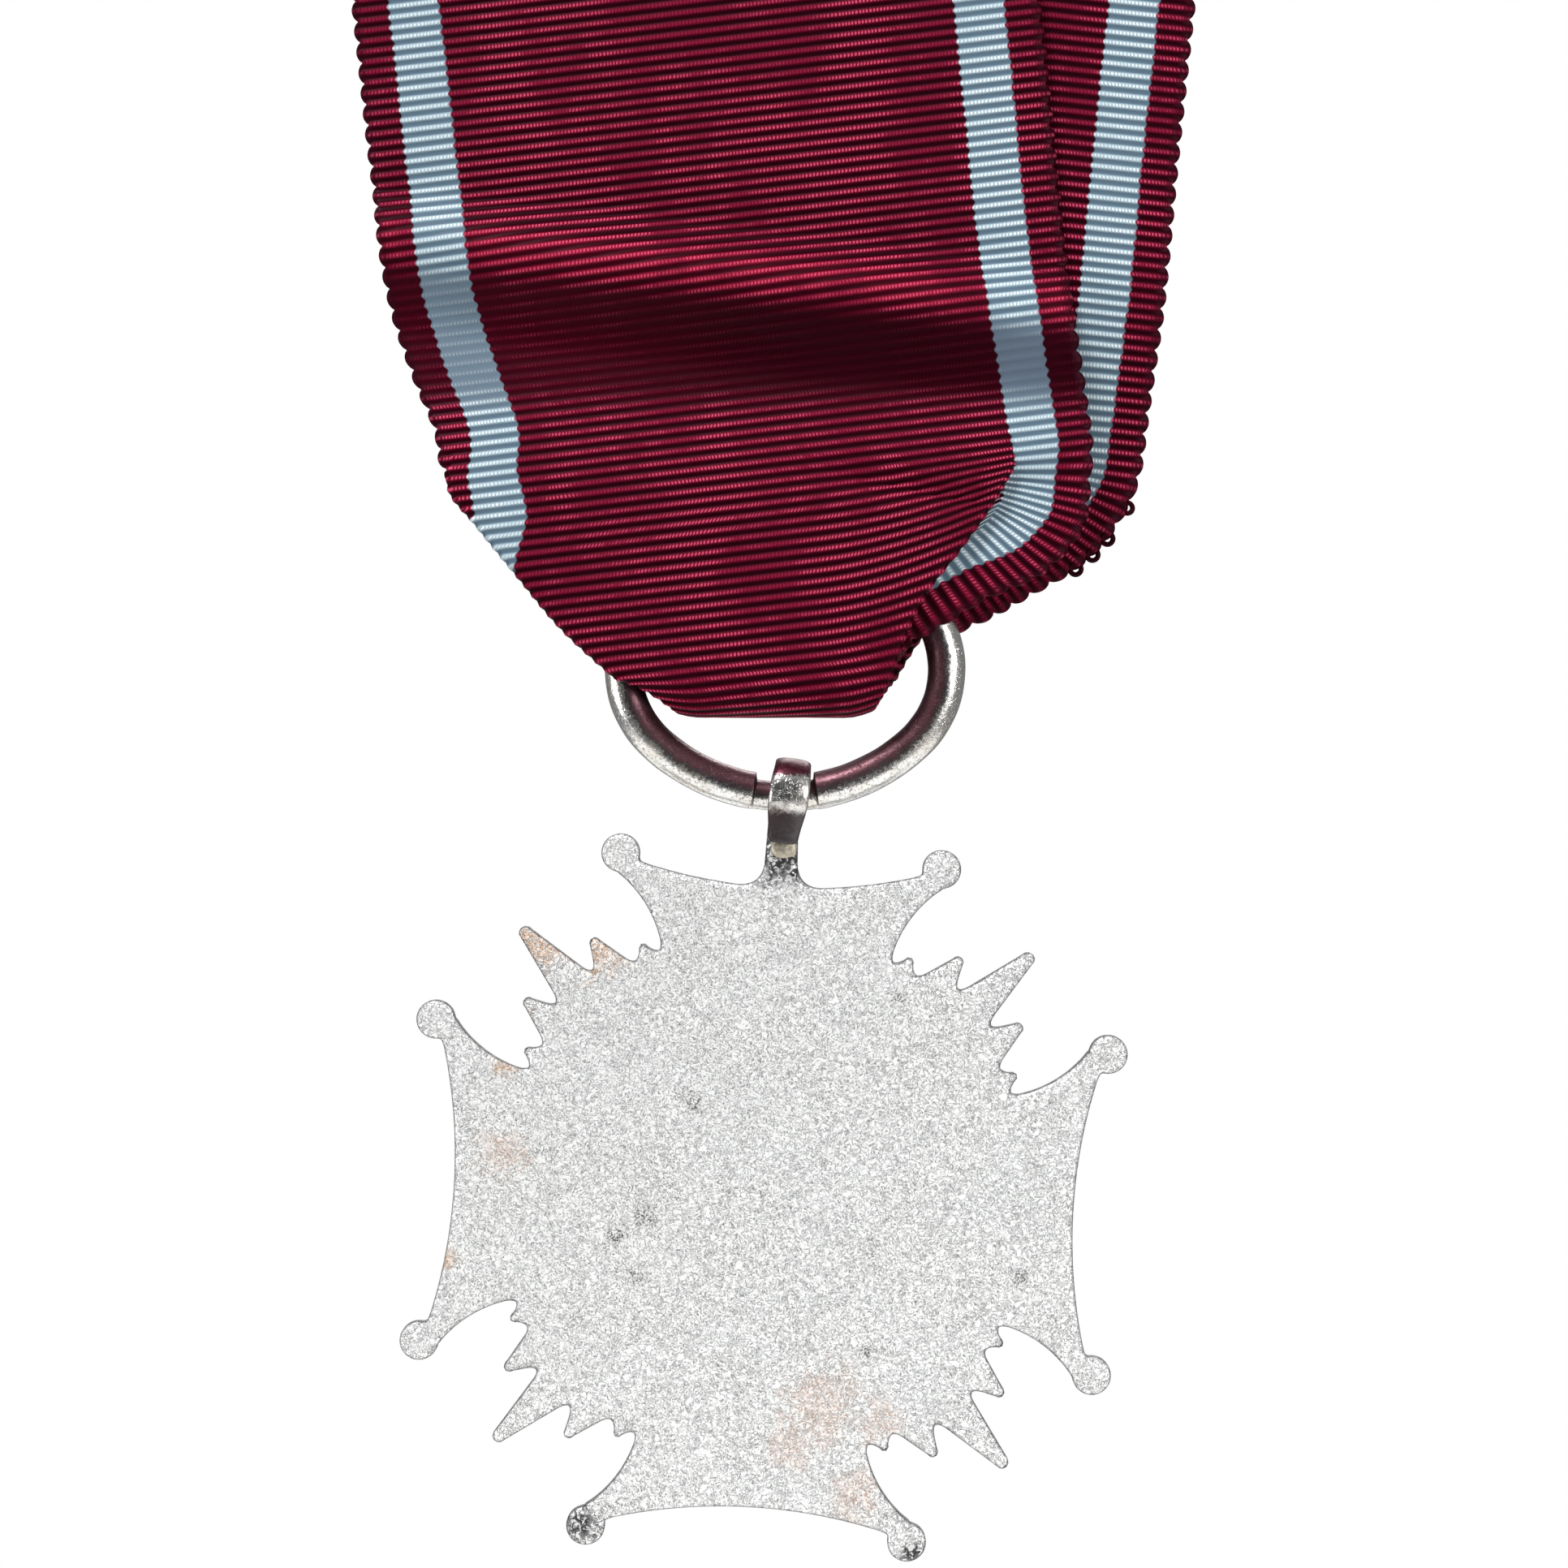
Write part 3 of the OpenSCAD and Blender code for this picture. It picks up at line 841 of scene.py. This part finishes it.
def ringRings():
    rings = []
    for x, z, outX, outZ in ringMiddle():
        neck = 0.0
        if z < 0:
            neck = 1 - blendStep(abs(x), wire["neckLong"] / 2 - wire["shoulder"], wire["neckLong"] / 2)
        radius = wire["thick"] + (wire["neck"] - wire["thick"]) * neck
        shift = (wire["thick"] - wire["neck"]) * neck * 0.8
        ring = []
        for k in range(wire["sides"]):
            a = 2 * math.pi * k / wire["sides"]
            dent = 0.022 * noise.noise(Vector((x * 0.8, math.sin(a) * 2.2, z * 0.8 + math.cos(a))))
            reach = (radius + dent) * math.cos(a) + shift
            ring.append(((x + outX * reach + ringX) * mm, (radius + dent) * math.sin(a) * mm,
                         (z + outZ * reach + ringZ + crossZ) * mm))
        rings.append(ring)
    return rings


points, faces = skin(ringRings(), joined=True)
hoop = tidyFaces(addMesh("silver_ring", points, faces, polished, "ring"))
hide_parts("suspension_ring")
print("ring", len(faces), "faces")


# The ribbon: one strip, down the front, round through the ring and up the back. Each row of the
# weave is laid out from five places on it: left crease, right crease, pleat, inner and outer margin.
ribbon = {"wide": 38.0, "top": 102.0, "fold": 29.05, "radius": 2.05, "rib": 0.585, "ribHigh": 0.05,
          "half": 0.12, "perRib": 4, "slopeFront": 0.123, "slopeBack": 0.105, "axis": 1.0, "flatY": 0.37,
          "loopFrom": 50.5, "loopTo": 38.5, "layer": 0.36, "pleatDeep": 3.0, "turnUnder": 4.0,
          "scallop": 0.12, "ridge": 2.0, "curl": 1.6, "leftAtFold": -4.9, "creaseAtFold": 6.2,
          "rightAtFold": 19.8}
foldStart = ribbon["top"] - ribbon["fold"]
foldEnd = foldStart + math.pi * ribbon["radius"]
foldMid = (foldStart + foldEnd) / 2
lengthAll = foldEnd + ribbon["top"] - ribbon["fold"]

# Edges as height and X, from the top down, front layer then back layer
frontLeft = [(102, -27.5), (85, -25.25), (67, -22.9), (55.7, -21.6), (48.9, -20.5), (45.5, -19.3),
             (42.5, -18.1), (39.8, -17.7), (37.5, -15.9), (34.8, -13.7), (31.6, -11), (29.3, -8.5)]
backLeft = [(102, -10.2), (85, -12), (67, -13.9), (48.9, -15.8), (42, -16.2), (40, -16), (35, -12.5),
            (31, -9.5), (29.3, -7.9)]
frontCrease = [(41.2, 13.9), (39.6, 13.2), (36.5, 11.1), (33.6, 8.9), (31, 7.7), (29.3, 7.1)]
backCrease = [(42.5, 17.3), (41, 16.6), (37, 14.2), (33.5, 10.5), (30, 7.9), (29.3, 7.5)]
frontRight = [(102, 10.7), (85, 12.93), (67, 15.3), (55, 16.5), (48.9, 17.2), (45, 17.8)]
backRight = [(102, 27.7), (85, 25.94), (67, 24.05), (58, 23.1), (48.9, 22.2), (46, 21.8)]
# The fanned margin past the crease: place along the strip, X, height, side, then its inner edge X, height
fan = [(61.4, 18.1, 42.5, -1, 13.6, 41.8), (65.5, 17.9, 38.2, -1, 13.3, 39.4),
       (68.6, 15.9, 35.3, -1, 12.6, 37.9), (72.4, 11.9, 33.3, -1, 10.1, 35.6),
       (74.4, 9.6, 31.9, -1, 8.3, 33.8), (75.6, 8.2, 31.1, -1, 7.2, 32.6),
       (77.0, 7.5, 30.2, 0, 6.6, 31.7), (78.4, 8.3, 31.1, 1, 7.3, 32.6),
       (80.2, 10.4, 31.6, 1, 9.1, 34.0), (81.6, 12.1, 32.3, 1, 10.3, 34.9),
       (84.5, 14.7, 33.7, 1, 12.4, 36.6), (88.2, 18.1, 35.8, 1, 14.6, 38.6),
       (90.5, 19.7, 37.6, 1, 15.6, 40.0), (93.2, 20.9, 40.4, 1, 16.4, 41.3)]


# Smooth curve through places, slopes limited so that it never overshoots
def through(places, values, at):
    x, y = np.array(places, float), np.array(values, float)
    h = np.diff(x)
    d = np.diff(y) / h
    m = np.concatenate([[d[0]], (d[:-1] * h[1:] + d[1:] * h[:-1]) / (h[1:] + h[:-1]), [d[-1]]])
    for i in range(len(d)):
        if d[i] == 0:
            m[i] = m[i + 1] = 0
            continue
        big = max(m[i] / d[i], m[i + 1] / d[i], 0)
        if big > 3:
            m[i], m[i + 1] = m[i] * 3 / big, m[i + 1] * 3 / big
    k = np.clip(np.searchsorted(x, at) - 1, 0, len(d) - 1)
    t = np.clip((at - x[k]) / h[k], 0, 1)
    a, b = y[k], y[k + 1]
    return (a * (1 + 2 * t) * (1 - t) ** 2 + b * t * t * (3 - 2 * t)
            + h[k] * (m[k] * t * (1 - t) ** 2 - m[k + 1] * t * t * (1 - t)))


def alongFront(z):
    return ribbon["top"] - z


def alongBack(z):
    return foldEnd + z - ribbon["fold"]


def rowSlope(along):
    turned = blendStep(along, foldStart - 4, foldEnd + 4)
    return ribbon["slopeFront"] + (ribbon["slopeBack"] - ribbon["slopeFront"]) * turned


# An edge as X against distance along the strip, and where each row of the weave meets it
def edgeCurve(front, middle, back):
    places = [alongFront(z) for z, _ in front] + [foldMid] + [alongBack(z) for z, _ in reversed(back)]
    return places, [x for _, x in front] + [middle] + [x for _, x in reversed(back)]


# Rows bend up beside the pleat
def curl(x, rows):
    pulled = blendStep(rows, 60.5, 69) * (1 - blendStep(rows, 71, 76))
    back = blendStep(rows, 79, 84) * (1 - blendStep(rows, 88, 92))
    return ribbon["curl"] * (pulled - back) * np.clip((x - 3) / 9, 0, 1.2) ** 2


def meet(rows, curve):
    x = np.full(rows.shape, 1.0)
    for _ in range(30):
        x = 0.5 * x + 0.5 * through(*curve, rows - rowSlope(rows) * (x - ribbon["axis"]) - curl(x, rows))
    return x


# How far the cloth stands from the middle plane
def depth(x, z, side):
    out = ribbon["flatY"] + (ribbon["radius"] - ribbon["flatY"]) * (1 - blendStep(z, ribbon["loopTo"],
                                                                                 ribbon["loopFrom"]))
    crest = 52.2 - 0.118 * (x + 3)
    ridge = (1 - blendStep(z, crest - 0.6, crest + 2.4)) * blendStep(z, crest - 6, crest - 0.6)
    wide = 1 - 0.35 * blendStep(np.abs(x + 3), 8, 20)
    ripple = 0.1 * np.sin(z * 0.21 + x * 0.05) ** 2 * blendStep(z, 52, 62)
    wrinkle = 0.45 * np.exp(-((x - 8.5) / 4.5) ** 2 - ((z - 39.4 + 0.2 * (x - 8.5)) / 0.6) ** 2)
    return out + np.where(side < 0, ridge * ribbon["ridge"] * wide + ripple - wrinkle, 0.5 * ripple)


def laid(x, along, under):
    z = np.where(along < foldStart, ribbon["top"] - along, ribbon["fold"] + along - foldEnd)
    side = np.where(along < foldMid, -1.0, 1.0)
    y = side * (depth(x, z, side) - under)
    turn = np.clip((along - foldStart) / ribbon["radius"], 0, math.pi)
    folded = (along > foldStart) & (along < foldEnd)
    reach = ribbon["radius"] - under
    raised = (0.9 * blendStep(x, 4.6, 8.0) + 1.3 * blendStep(-x, 3.4, 8.6)) * np.sin(turn)
    y = np.where(folded, -reach * np.cos(turn), y)
    z = np.where(folded, ribbon["fold"] - reach * np.sin(turn) + raised, z)
    return np.stack([x, y, z], -1)


def onRow(x, rows, under=0.0):
    along = rows - rowSlope(rows) * (x - ribbon["axis"]) - curl(x, rows)
    return laid(x, along, under + np.zeros(rows.shape))


def between(first, second, t):
    return first + (second - first) * t


# The strip's middle surface and where each point lies across it, row by row
def ribbonGrid():
    step = ribbon["rib"] / ribbon["perRib"]
    rows = np.arange(0, lengthAll, step)
    leftCurve = edgeCurve(frontLeft, ribbon["leftAtFold"], backLeft)
    left = meet(rows, leftCurve)
    tailRight = edgeCurve(frontRight, ribbon["rightAtFold"], backRight)
    right = meet(rows, tailRight)
    creaseCurve = edgeCurve([(102, 14.1)] + frontCrease, ribbon["creaseAtFold"], [(102, 17.3)] + backCrease)
    crease = meet(rows, creaseCurve)
    foldLeft = blendStep(rows, 57.7, 61) * (1 - blendStep(rows, 87.5, 91))
    foldRight = blendStep(rows, 60.8, 64.5) * (1 - blendStep(rows, 90.5, 94.5))
    underLeft = through([0, 57, 60.2, 62, 65, 69, 73, foldMid, 79.5, 84, 87, 91, 95, 153],
                        [0.9, 0.9, 1.0, 1.9, 4.7, 8, 11, 12, 11, 8, 4.7, 1.2, 0.9, 0.9], rows)
    atCrease = np.clip(underLeft + (crease - left) * 1.006, 24, 33)

    # front and back margin, from its outer and inner edges
    keys = [k for k in rows[::40] if k < 58] + [f[0] for f in fan] + [k for k in rows[::40] if k > 97]

    def flat(across, k):
        x = between(np.interp(k, rows, left), np.interp(k, rows, right), across / ribbon["wide"])
        return onRow(np.array([x]), np.array([k]))[0]

    flatKeys = [(k, flat(38.0, k), flat(33.6, k)) for k in keys]
    outer, inner = [], []
    for k, whole, part in flatKeys:
        match = [f for f in fan if f[0] == k]
        side = -1 if k < 70 else 1
        if match:
            _, sx, sz, side, cx, cz = match[0]
            outer.append((sx, sz, side))
            inner.append((cx, cz, side))
        else:
            outer.append((whole[0], whole[2], side))
            inner.append((part[0], part[2], side))

    def path(values):
        x, z, side = [through(keys, [v[i] for v in values], rows) for i in range(3)]
        off = side * (depth(x, z, side) - 2 * ribbon["layer"] * foldRight)
        return np.stack([x, off, z], -1)

    marginOut, marginIn = path(outer), path(inner)
    columns, across = [], []

    def column(flatAcross, shape, place, weight):
        x = between(left, right, flatAcross / ribbon["wide"])
        columns.append(between(onRow(x, rows), shape, weight[:, None]))
        across.append(between(flatAcross + 0 * rows, place, weight))

    half = ribbon["layer"] / 2
    hidden = np.clip(underLeft - 0.6, 0.3, ribbon["turnUnder"])
    for i in range(4):
        t = i / 4
        column(0.2 * i, onRow(left + half + hidden * (1 - t), rows, 2 * half), underLeft * t * 0.92, foldLeft)
    for i in range(3):
        a = math.pi * (i + 0.5) / 3
        spot = left + half - half * math.sin(a)
        column(0.72 + 0.1 * i, onRow(spot, rows, half + half * math.cos(a)),
               underLeft * (0.94 + 0.02 * i), foldLeft)
    count = 22
    for i in range(count + 1):
        t = i / count
        weight = between(foldLeft, foldRight, t)
        x = between(left + half, crease - half, t)
        column(1.0 + 32 * t, onRow(x, rows), between(underLeft, atCrease, t), weight)
    deep = ribbon["pleatDeep"] * foldRight
    reachIn = np.linalg.norm(marginOut - marginIn, axis=1)
    atInner = np.clip(ribbon["wide"] - reachIn, 30, 37)
    for i in range(3):
        a = math.pi * (i + 0.5) / 3
        spot = crease - half + half * math.sin(a)
        column(33.05 + 0.05 * i, onRow(spot, rows, half - half * math.cos(a)),
               atCrease + 0.2 * (i + 1), foldRight)
    for i in range(1, 3):
        column(33.15 + 0.05 * i, onRow(crease - half - deep * i / 2, rows, 2 * half),
               between(atCrease + 0.8, (atCrease + atInner) / 2, i / 2), foldRight)
    for i in range(3):
        a = math.pi * (i + 0.5) / 3
        spot = crease - half - deep - half * math.sin(a)
        column(33.3 + 0.05 * i, onRow(spot, rows, 3 * half - half * math.cos(a)),
               between((atCrease + atInner) / 2, atInner, 0.1 * (i + 1)), foldRight)
    turned = onRow(crease - half - deep, rows, 4 * half)
    for i in range(2):
        column(33.45 + 0.05 * i, between(turned, marginIn, i / 2),
               between((atCrease + atInner) / 2 + 0.4, atInner, 0.4 + 0.3 * i), foldRight)
    for i in range(9):
        t = i / 8
        column(33.6 + 4.4 * t, between(marginIn, marginOut, t), between(atInner, 38.0, t), foldRight)
    return rows, np.stack(columns, 1), np.stack(across, 1)


# Where the front layer has been creased and its ribs pressed flat, and the band of painted shade across it:
# from one line to another
pressedShadeBand = {"top": 47.0, "topSlope": 0.218, "low": 55.1, "lowSlope": 0.115}


def pressed(across, rows):
    top = pressedShadeBand["top"] + across * pressedShadeBand["topSlope"]
    low = pressedShadeBand["low"] + across * pressedShadeBand["lowSlope"]
    return blendStep(rows, top - 0.3, top + 1.2) * (1 - blendStep(rows, low - 1.4, low + 1.2))


# Small loops of thread standing off the far selvage
threadLoops = {"at": (87.5, 88.6, 89.8, 91.6), "reach": 0.32, "thick": 0.15, "out": 0.05,
               "turns": 20, "sides": 8}


def threadRings(edge, out, down):
    rings = []
    for i in range(threadLoops["turns"]):
        a = 2 * math.pi * i / threadLoops["turns"]
        way = out * math.cos(a) + down * math.sin(a)
        side = np.cross(out, down)
        middle = edge + out * threadLoops["out"] + way * threadLoops["reach"]
        ring = []
        for k in range(threadLoops["sides"]):
            b = 2 * math.pi * k / threadLoops["sides"]
            ring.append(middle + threadLoops["thick"] * (way * math.cos(b) + side * math.sin(b)))
        rings.append(ring)
    return rings


# Thickness, ribs and scalloped selvages round the middle surface
def ribbonMesh():
    rows, grid, across = ribbonGrid()
    spin = np.abs(np.cos(math.pi * rows / (2 * ribbon["rib"]))) ** 0.7 * 2 - 1
    for edge, inner in ((0, 1), (-1, -2)):
        out = grid[:, edge] - grid[:, inner]
        out /= np.linalg.norm(out, axis=1)[:, None]
        grid[:, edge] += out * (ribbon["scallop"] * (spin - 0.2))[:, None]
    downRows = np.gradient(grid, axis=0)
    downAcross = np.gradient(grid, axis=1)
    normal = np.cross(downRows, downAcross)
    normal /= np.maximum(np.linalg.norm(normal, axis=2), 1e-9)[:, :, None]
    rib = np.cos(2 * math.pi * rows / ribbon["rib"])[:, None]
    rise = ribbon["half"] + ribbon["ribHigh"] * rib * (1 - 0.7 * pressed(across, rows[:, None]))
    front = grid - normal * rise[:, :, None]
    back = grid + normal * rise[:, :, None]
    ends = []
    for edge, inner in ((0, 1), (-1, -2)):
        out = grid[:, edge] - grid[:, inner]
        out /= np.linalg.norm(out, axis=1)[:, None]
        ends.append(grid[:, edge] + out * (0.1 + 0.02 * spin)[:, None])
    n, m = across.shape
    layers = np.concatenate([front.reshape(-1, 3), back.reshape(-1, 3), ends[0], ends[1]])
    place = np.stack([across, np.repeat(rows[:, None], m, 1)], -1).reshape(-1, 2)
    sides = [np.stack([across[:, e], rows], -1) for e in (0, -1)]
    weave = np.concatenate([place, place, *sides])
    index = np.arange(n * m).reshape(n, m)
    a, b, c, d = index[:-1, :-1], index[1:, :-1], index[1:, 1:], index[:-1, 1:]
    faces = [np.stack([a, b, c, d], -1).reshape(-1, 4), np.stack([d, c, b, a], -1).reshape(-1, 4) + n * m]
    for which, column in ((0, 0), (1, m - 1)):
        mid = 2 * n * m + which * n + np.arange(n)
        face, behind = index[:, column], index[:, column] + n * m
        for one, two in ((face, mid), (mid, behind)):
            quad = np.stack([one[:-1], two[:-1], two[1:], one[1:]], -1)
            faces.append(quad if which == 0 else quad[:, ::-1])
    faces = np.concatenate(faces).tolist()
    for row in (0, n - 1):
        under = [v + n * m for v in index[row][::-1]]
        loop = list(index[row]) + [2 * n * m + n + row] + under + [2 * n * m + row]
        faces.append([int(v) for v in (loop if row == 0 else loop[::-1])])
    for place in threadLoops["at"]:
        row = int(round(place / (rows[1] - rows[0])))
        out = grid[row, -1] - grid[row, -3]
        down = grid[row + 2, -1] - grid[row - 2, -1]
        out, down = out / np.linalg.norm(out), down / np.linalg.norm(down)
        down = down - out * out.dot(down)
        points, quads = skin(threadRings(grid[row, -1], out, down / np.linalg.norm(down)), joined=True)
        faces += [[v + len(layers) for v in quad] for quad in quads]
        layers = np.concatenate([layers, np.array(points)])
        weave = np.concatenate([weave, np.full((len(points), 2), 37.7) * [1, 0] + [0, place]])
    layers[:, 2] += crossZ
    return layers * mm, faces, weave


def addRibbon(material):
    points, faces, weave = ribbonMesh()
    mesh = bpy.data.meshes.new("ribbon")
    mesh.from_pydata(points.tolist(), [], faces)
    mesh.update()
    mesh.materials.append(material)
    mesh.polygons.foreach_set("use_smooth", [True] * len(mesh.polygons))
    piece = bpy.data.objects.new("ribbon", mesh)
    bpy.context.scene.collection.objects.link(piece)
    mark(piece, "weave", weave / silk["span"])
    return piece


# Ribbed silk: claret with a pale blue stripe near each selvage. The weave layer holds the distance
# across and along the strip.
silk = {"stripe": (1.9, 4.7), "otherStripe": (33.3, 36.1), "thread": 0.2, "span": 200}


def ribbedSilk():
    f = Finish("ribbed silk")
    weave = f.add("ShaderNodeUVMap", {"uv_map": "weave"}, {})
    u, s, _ = f.split(weave)
    u, s = u * silk["span"], s * silk["span"]
    turns = s * (2 * math.pi / ribbon["rib"])
    rib = turns.math("COSINE", turns)
    wander = f.noise(1.3, 2.0, 0.5, 0.0, f.place())
    # Painted highlight: pale dashes along each rib's crest, where the threads cross it
    threads = (u / silk["thread"] + s * (0.45 / ribbon["rib"]) + (wander - 0.5) * 1.5) * (2 * math.pi)
    dash = threads.sine()
    # Painted shade: the valleys between the ribs are painted near black in the colours below
    crest = rib.ramp(-0.75, 0.95)
    tip = rib.ramp(0.35, 1.0) * dash.ramp(-0.75, 0.5)
    edge = u + rib * 0.07 + (wander - 0.5) * 0.2
    pale = None
    for low, high in (silk["stripe"], silk["otherStripe"]):
        one = edge.ramp(low - 0.06, low + 0.06) * edge.ramp(high + 0.06, high - 0.06)
        pale = one if pale is None else pale + one
    ragged = f.noise(0.5, 2.0, 0.5, 0.0, f.add("ShaderNodeCombineXYZ", {}, {0: u * 0.0003, 1: s * 0.0012}))
    # Painted sheen: patches of moiré lustre that strengthen the painted highlights
    sheen = f.add("ShaderNodeTexNoise", {"noise_dimensions": "2D"},
                  {"Vector": f.add("ShaderNodeCombineXYZ", {}, {0: u * 0.26 + ragged * 0.7, 1: s * 0.1}),
                   "Scale": 1.0, "Detail": 4.0, "Roughness": 0.65})
    lustre = sheen.ramp(0.38, 0.64)
    top = u * pressedShadeBand["topSlope"] + pressedShadeBand["top"]
    low = u * pressedShadeBand["lowSlope"] + pressedShadeBand["low"]
    # Painted shade: a dark band across the front layer where it was creased, with less painted rib relief
    paintedShadeBand = (s - top).ramp(-0.3, 1.2) * (low - s).ramp(-1.2, 1.4)
    # Painted highlight: a brighter strip along the ridge just above the band of painted shade
    ridge = (s - top).ramp(-2.9, -1.6) * (top - s).ramp(-0.4, 0.5) * sheen.ramp(0.3, 0.55, 0.35, 1.0)
    shade = 1 - paintedShadeBand * 0.55
    relief = 1 - paintedShadeBand * 0.75
    claret = f.mix(crest * relief + paintedShadeBand * 0.22,
                   colour(0.014, 0.0001, 0.0022), colour(0.127, 0.0018, 0.017))
    gleam = (0.12 + lustre * 0.75 + ridge * 0.4).least(1.0)
    # Painted highlight: pale pink on the crests of the claret silk
    lit = f.mix(tip * relief * gleam, claret, colour(0.62, 0.075, 0.15))
    ridged = f.mix(ridge * crest.ramp(0.0, 1.0, 0.04, 0.3), lit, colour(0.42, 0.016, 0.05))
    # The stripes' rib valleys carry the same painted shade
    blue = f.mix(crest * relief * shade + paintedShadeBand * 0.25,
                 colour(0.085, 0.135, 0.18), colour(0.33, 0.44, 0.5))
    # Painted highlight: blue-white on the crests of the stripes
    blueLit = f.mix(tip * relief * (0.5 + lustre * 0.4), blue, colour(0.84, 0.88, 0.9))
    # The painted shade band's own dark claret and blue
    deep = f.mix(pale, colour(0.013, 0.0001, 0.0022), colour(0.075, 0.1, 0.14))
    base = f.mix(paintedShadeBand * u.ramp(6.0, 22.0, 0.45, 0.86), f.mix(pale, ridged, blueLit), deep)
    selvage = edge.ramp(0.5, 0.15) + edge.ramp(37.5, 37.85)
    ended = f.mix(selvage * 0.55, base, colour(0.02, 0.001, 0.005))
    height = (rib.ramp(-1.0, 1.0) * 0.35 + dash.ramp(-1.0, 1.0) * crest * 0.65) * relief
    return f.close({"Base Color": ended, "Roughness": 0.5 - lustre * 0.1, "Specular IOR Level": 0.06,
                    "Specular Tint": colour(1.0, 0.5, 0.6), "Normal": f.bump(height, 0.04, 0.8)})


silkFinish = ribbedSilk()
strip = tidyFaces(addRibbon(silkFinish))
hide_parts("ribbon_near_tail", "ribbon_far_tail", "ribbon_loop")
(crossZ + 49.8) * mm
(crossZ + 43.8) * mm
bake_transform(strip)
print("ribbon", len(strip.data.polygons), "faces")


# Plain pale floor, set well below the cross, and soft light from all round
stage = {"drop": 26, "radius": 118}
floorZ = (cadBox[0][2] / mm - stage["drop"]) * mm
bpy.ops.mesh.primitive_circle_add(vertices=128, radius=stage["radius"] * mm, fill_type="NGON",
                                  location=(0, 0, floorZ))
floor = bpy.context.object
floor.name = "floor"
pale = Finish("pale floor")
floor.data.materials.append(pale.close({"Base Color": colour(0.86, 0.86, 0.85), "Roughness": 0.8}))


def softLamp(name, place, aim, size, power):
    data = bpy.data.lights.new(name, "AREA")
    data.shape = "DISK"
    data.size = size
    data.energy = power
    lamp = bpy.data.objects.new(name, data)
    lamp.location = place
    lamp.rotation_euler = (Vector(aim) - Vector(place)).to_track_quat("-Z", "Y").to_euler()
    bpy.context.scene.collection.objects.link(lamp)


middle = (0, 0, (crossZ + 30) * mm)
softLamp("key", (-0.16, -0.25, 0.44), middle, 0.15, 3.6)
softLamp("fill", (0.34, -0.36, -0.02), middle, 0.22, 1.6)
softLamp("side", (-0.42, -0.2, -0.12), middle, 0.2, 0.7)
softLamp("back", (0.1, 0.4, 0.3), middle, 0.25, 1.1)


# The room: white to the camera, a soft grey that darkens behind the camera to everything else
room = bpy.data.worlds.new("room")
room.use_nodes = True
bpy.context.scene.world = room
paint = Finish("room", room.node_tree)
way = paint.add("ShaderNodeTexCoord", {}, {}, 0)
_, towards, up = paint.split(way)
around = 0.24 + up.ramp(-0.5, -0.85) * 0.85 + up.ramp(0.3, 0.9) * towards.ramp(-0.5, 0.3, 0.04, 0.5)
soft = around * towards.ramp(-0.94, -0.55, 0.32, 1.0)
seen = paint.add("ShaderNodeLightPath", {}, {}, 0)
strength = soft + seen * (1.0 - soft)
lit = paint.add("ShaderNodeBackground", {}, {"Color": colour(1, 1, 1), "Strength": strength})
paint.add("ShaderNodeOutputWorld", {}, {"Surface": lit})
bpy.context.scene.view_settings.view_transform = "Standard"
print("light ready")
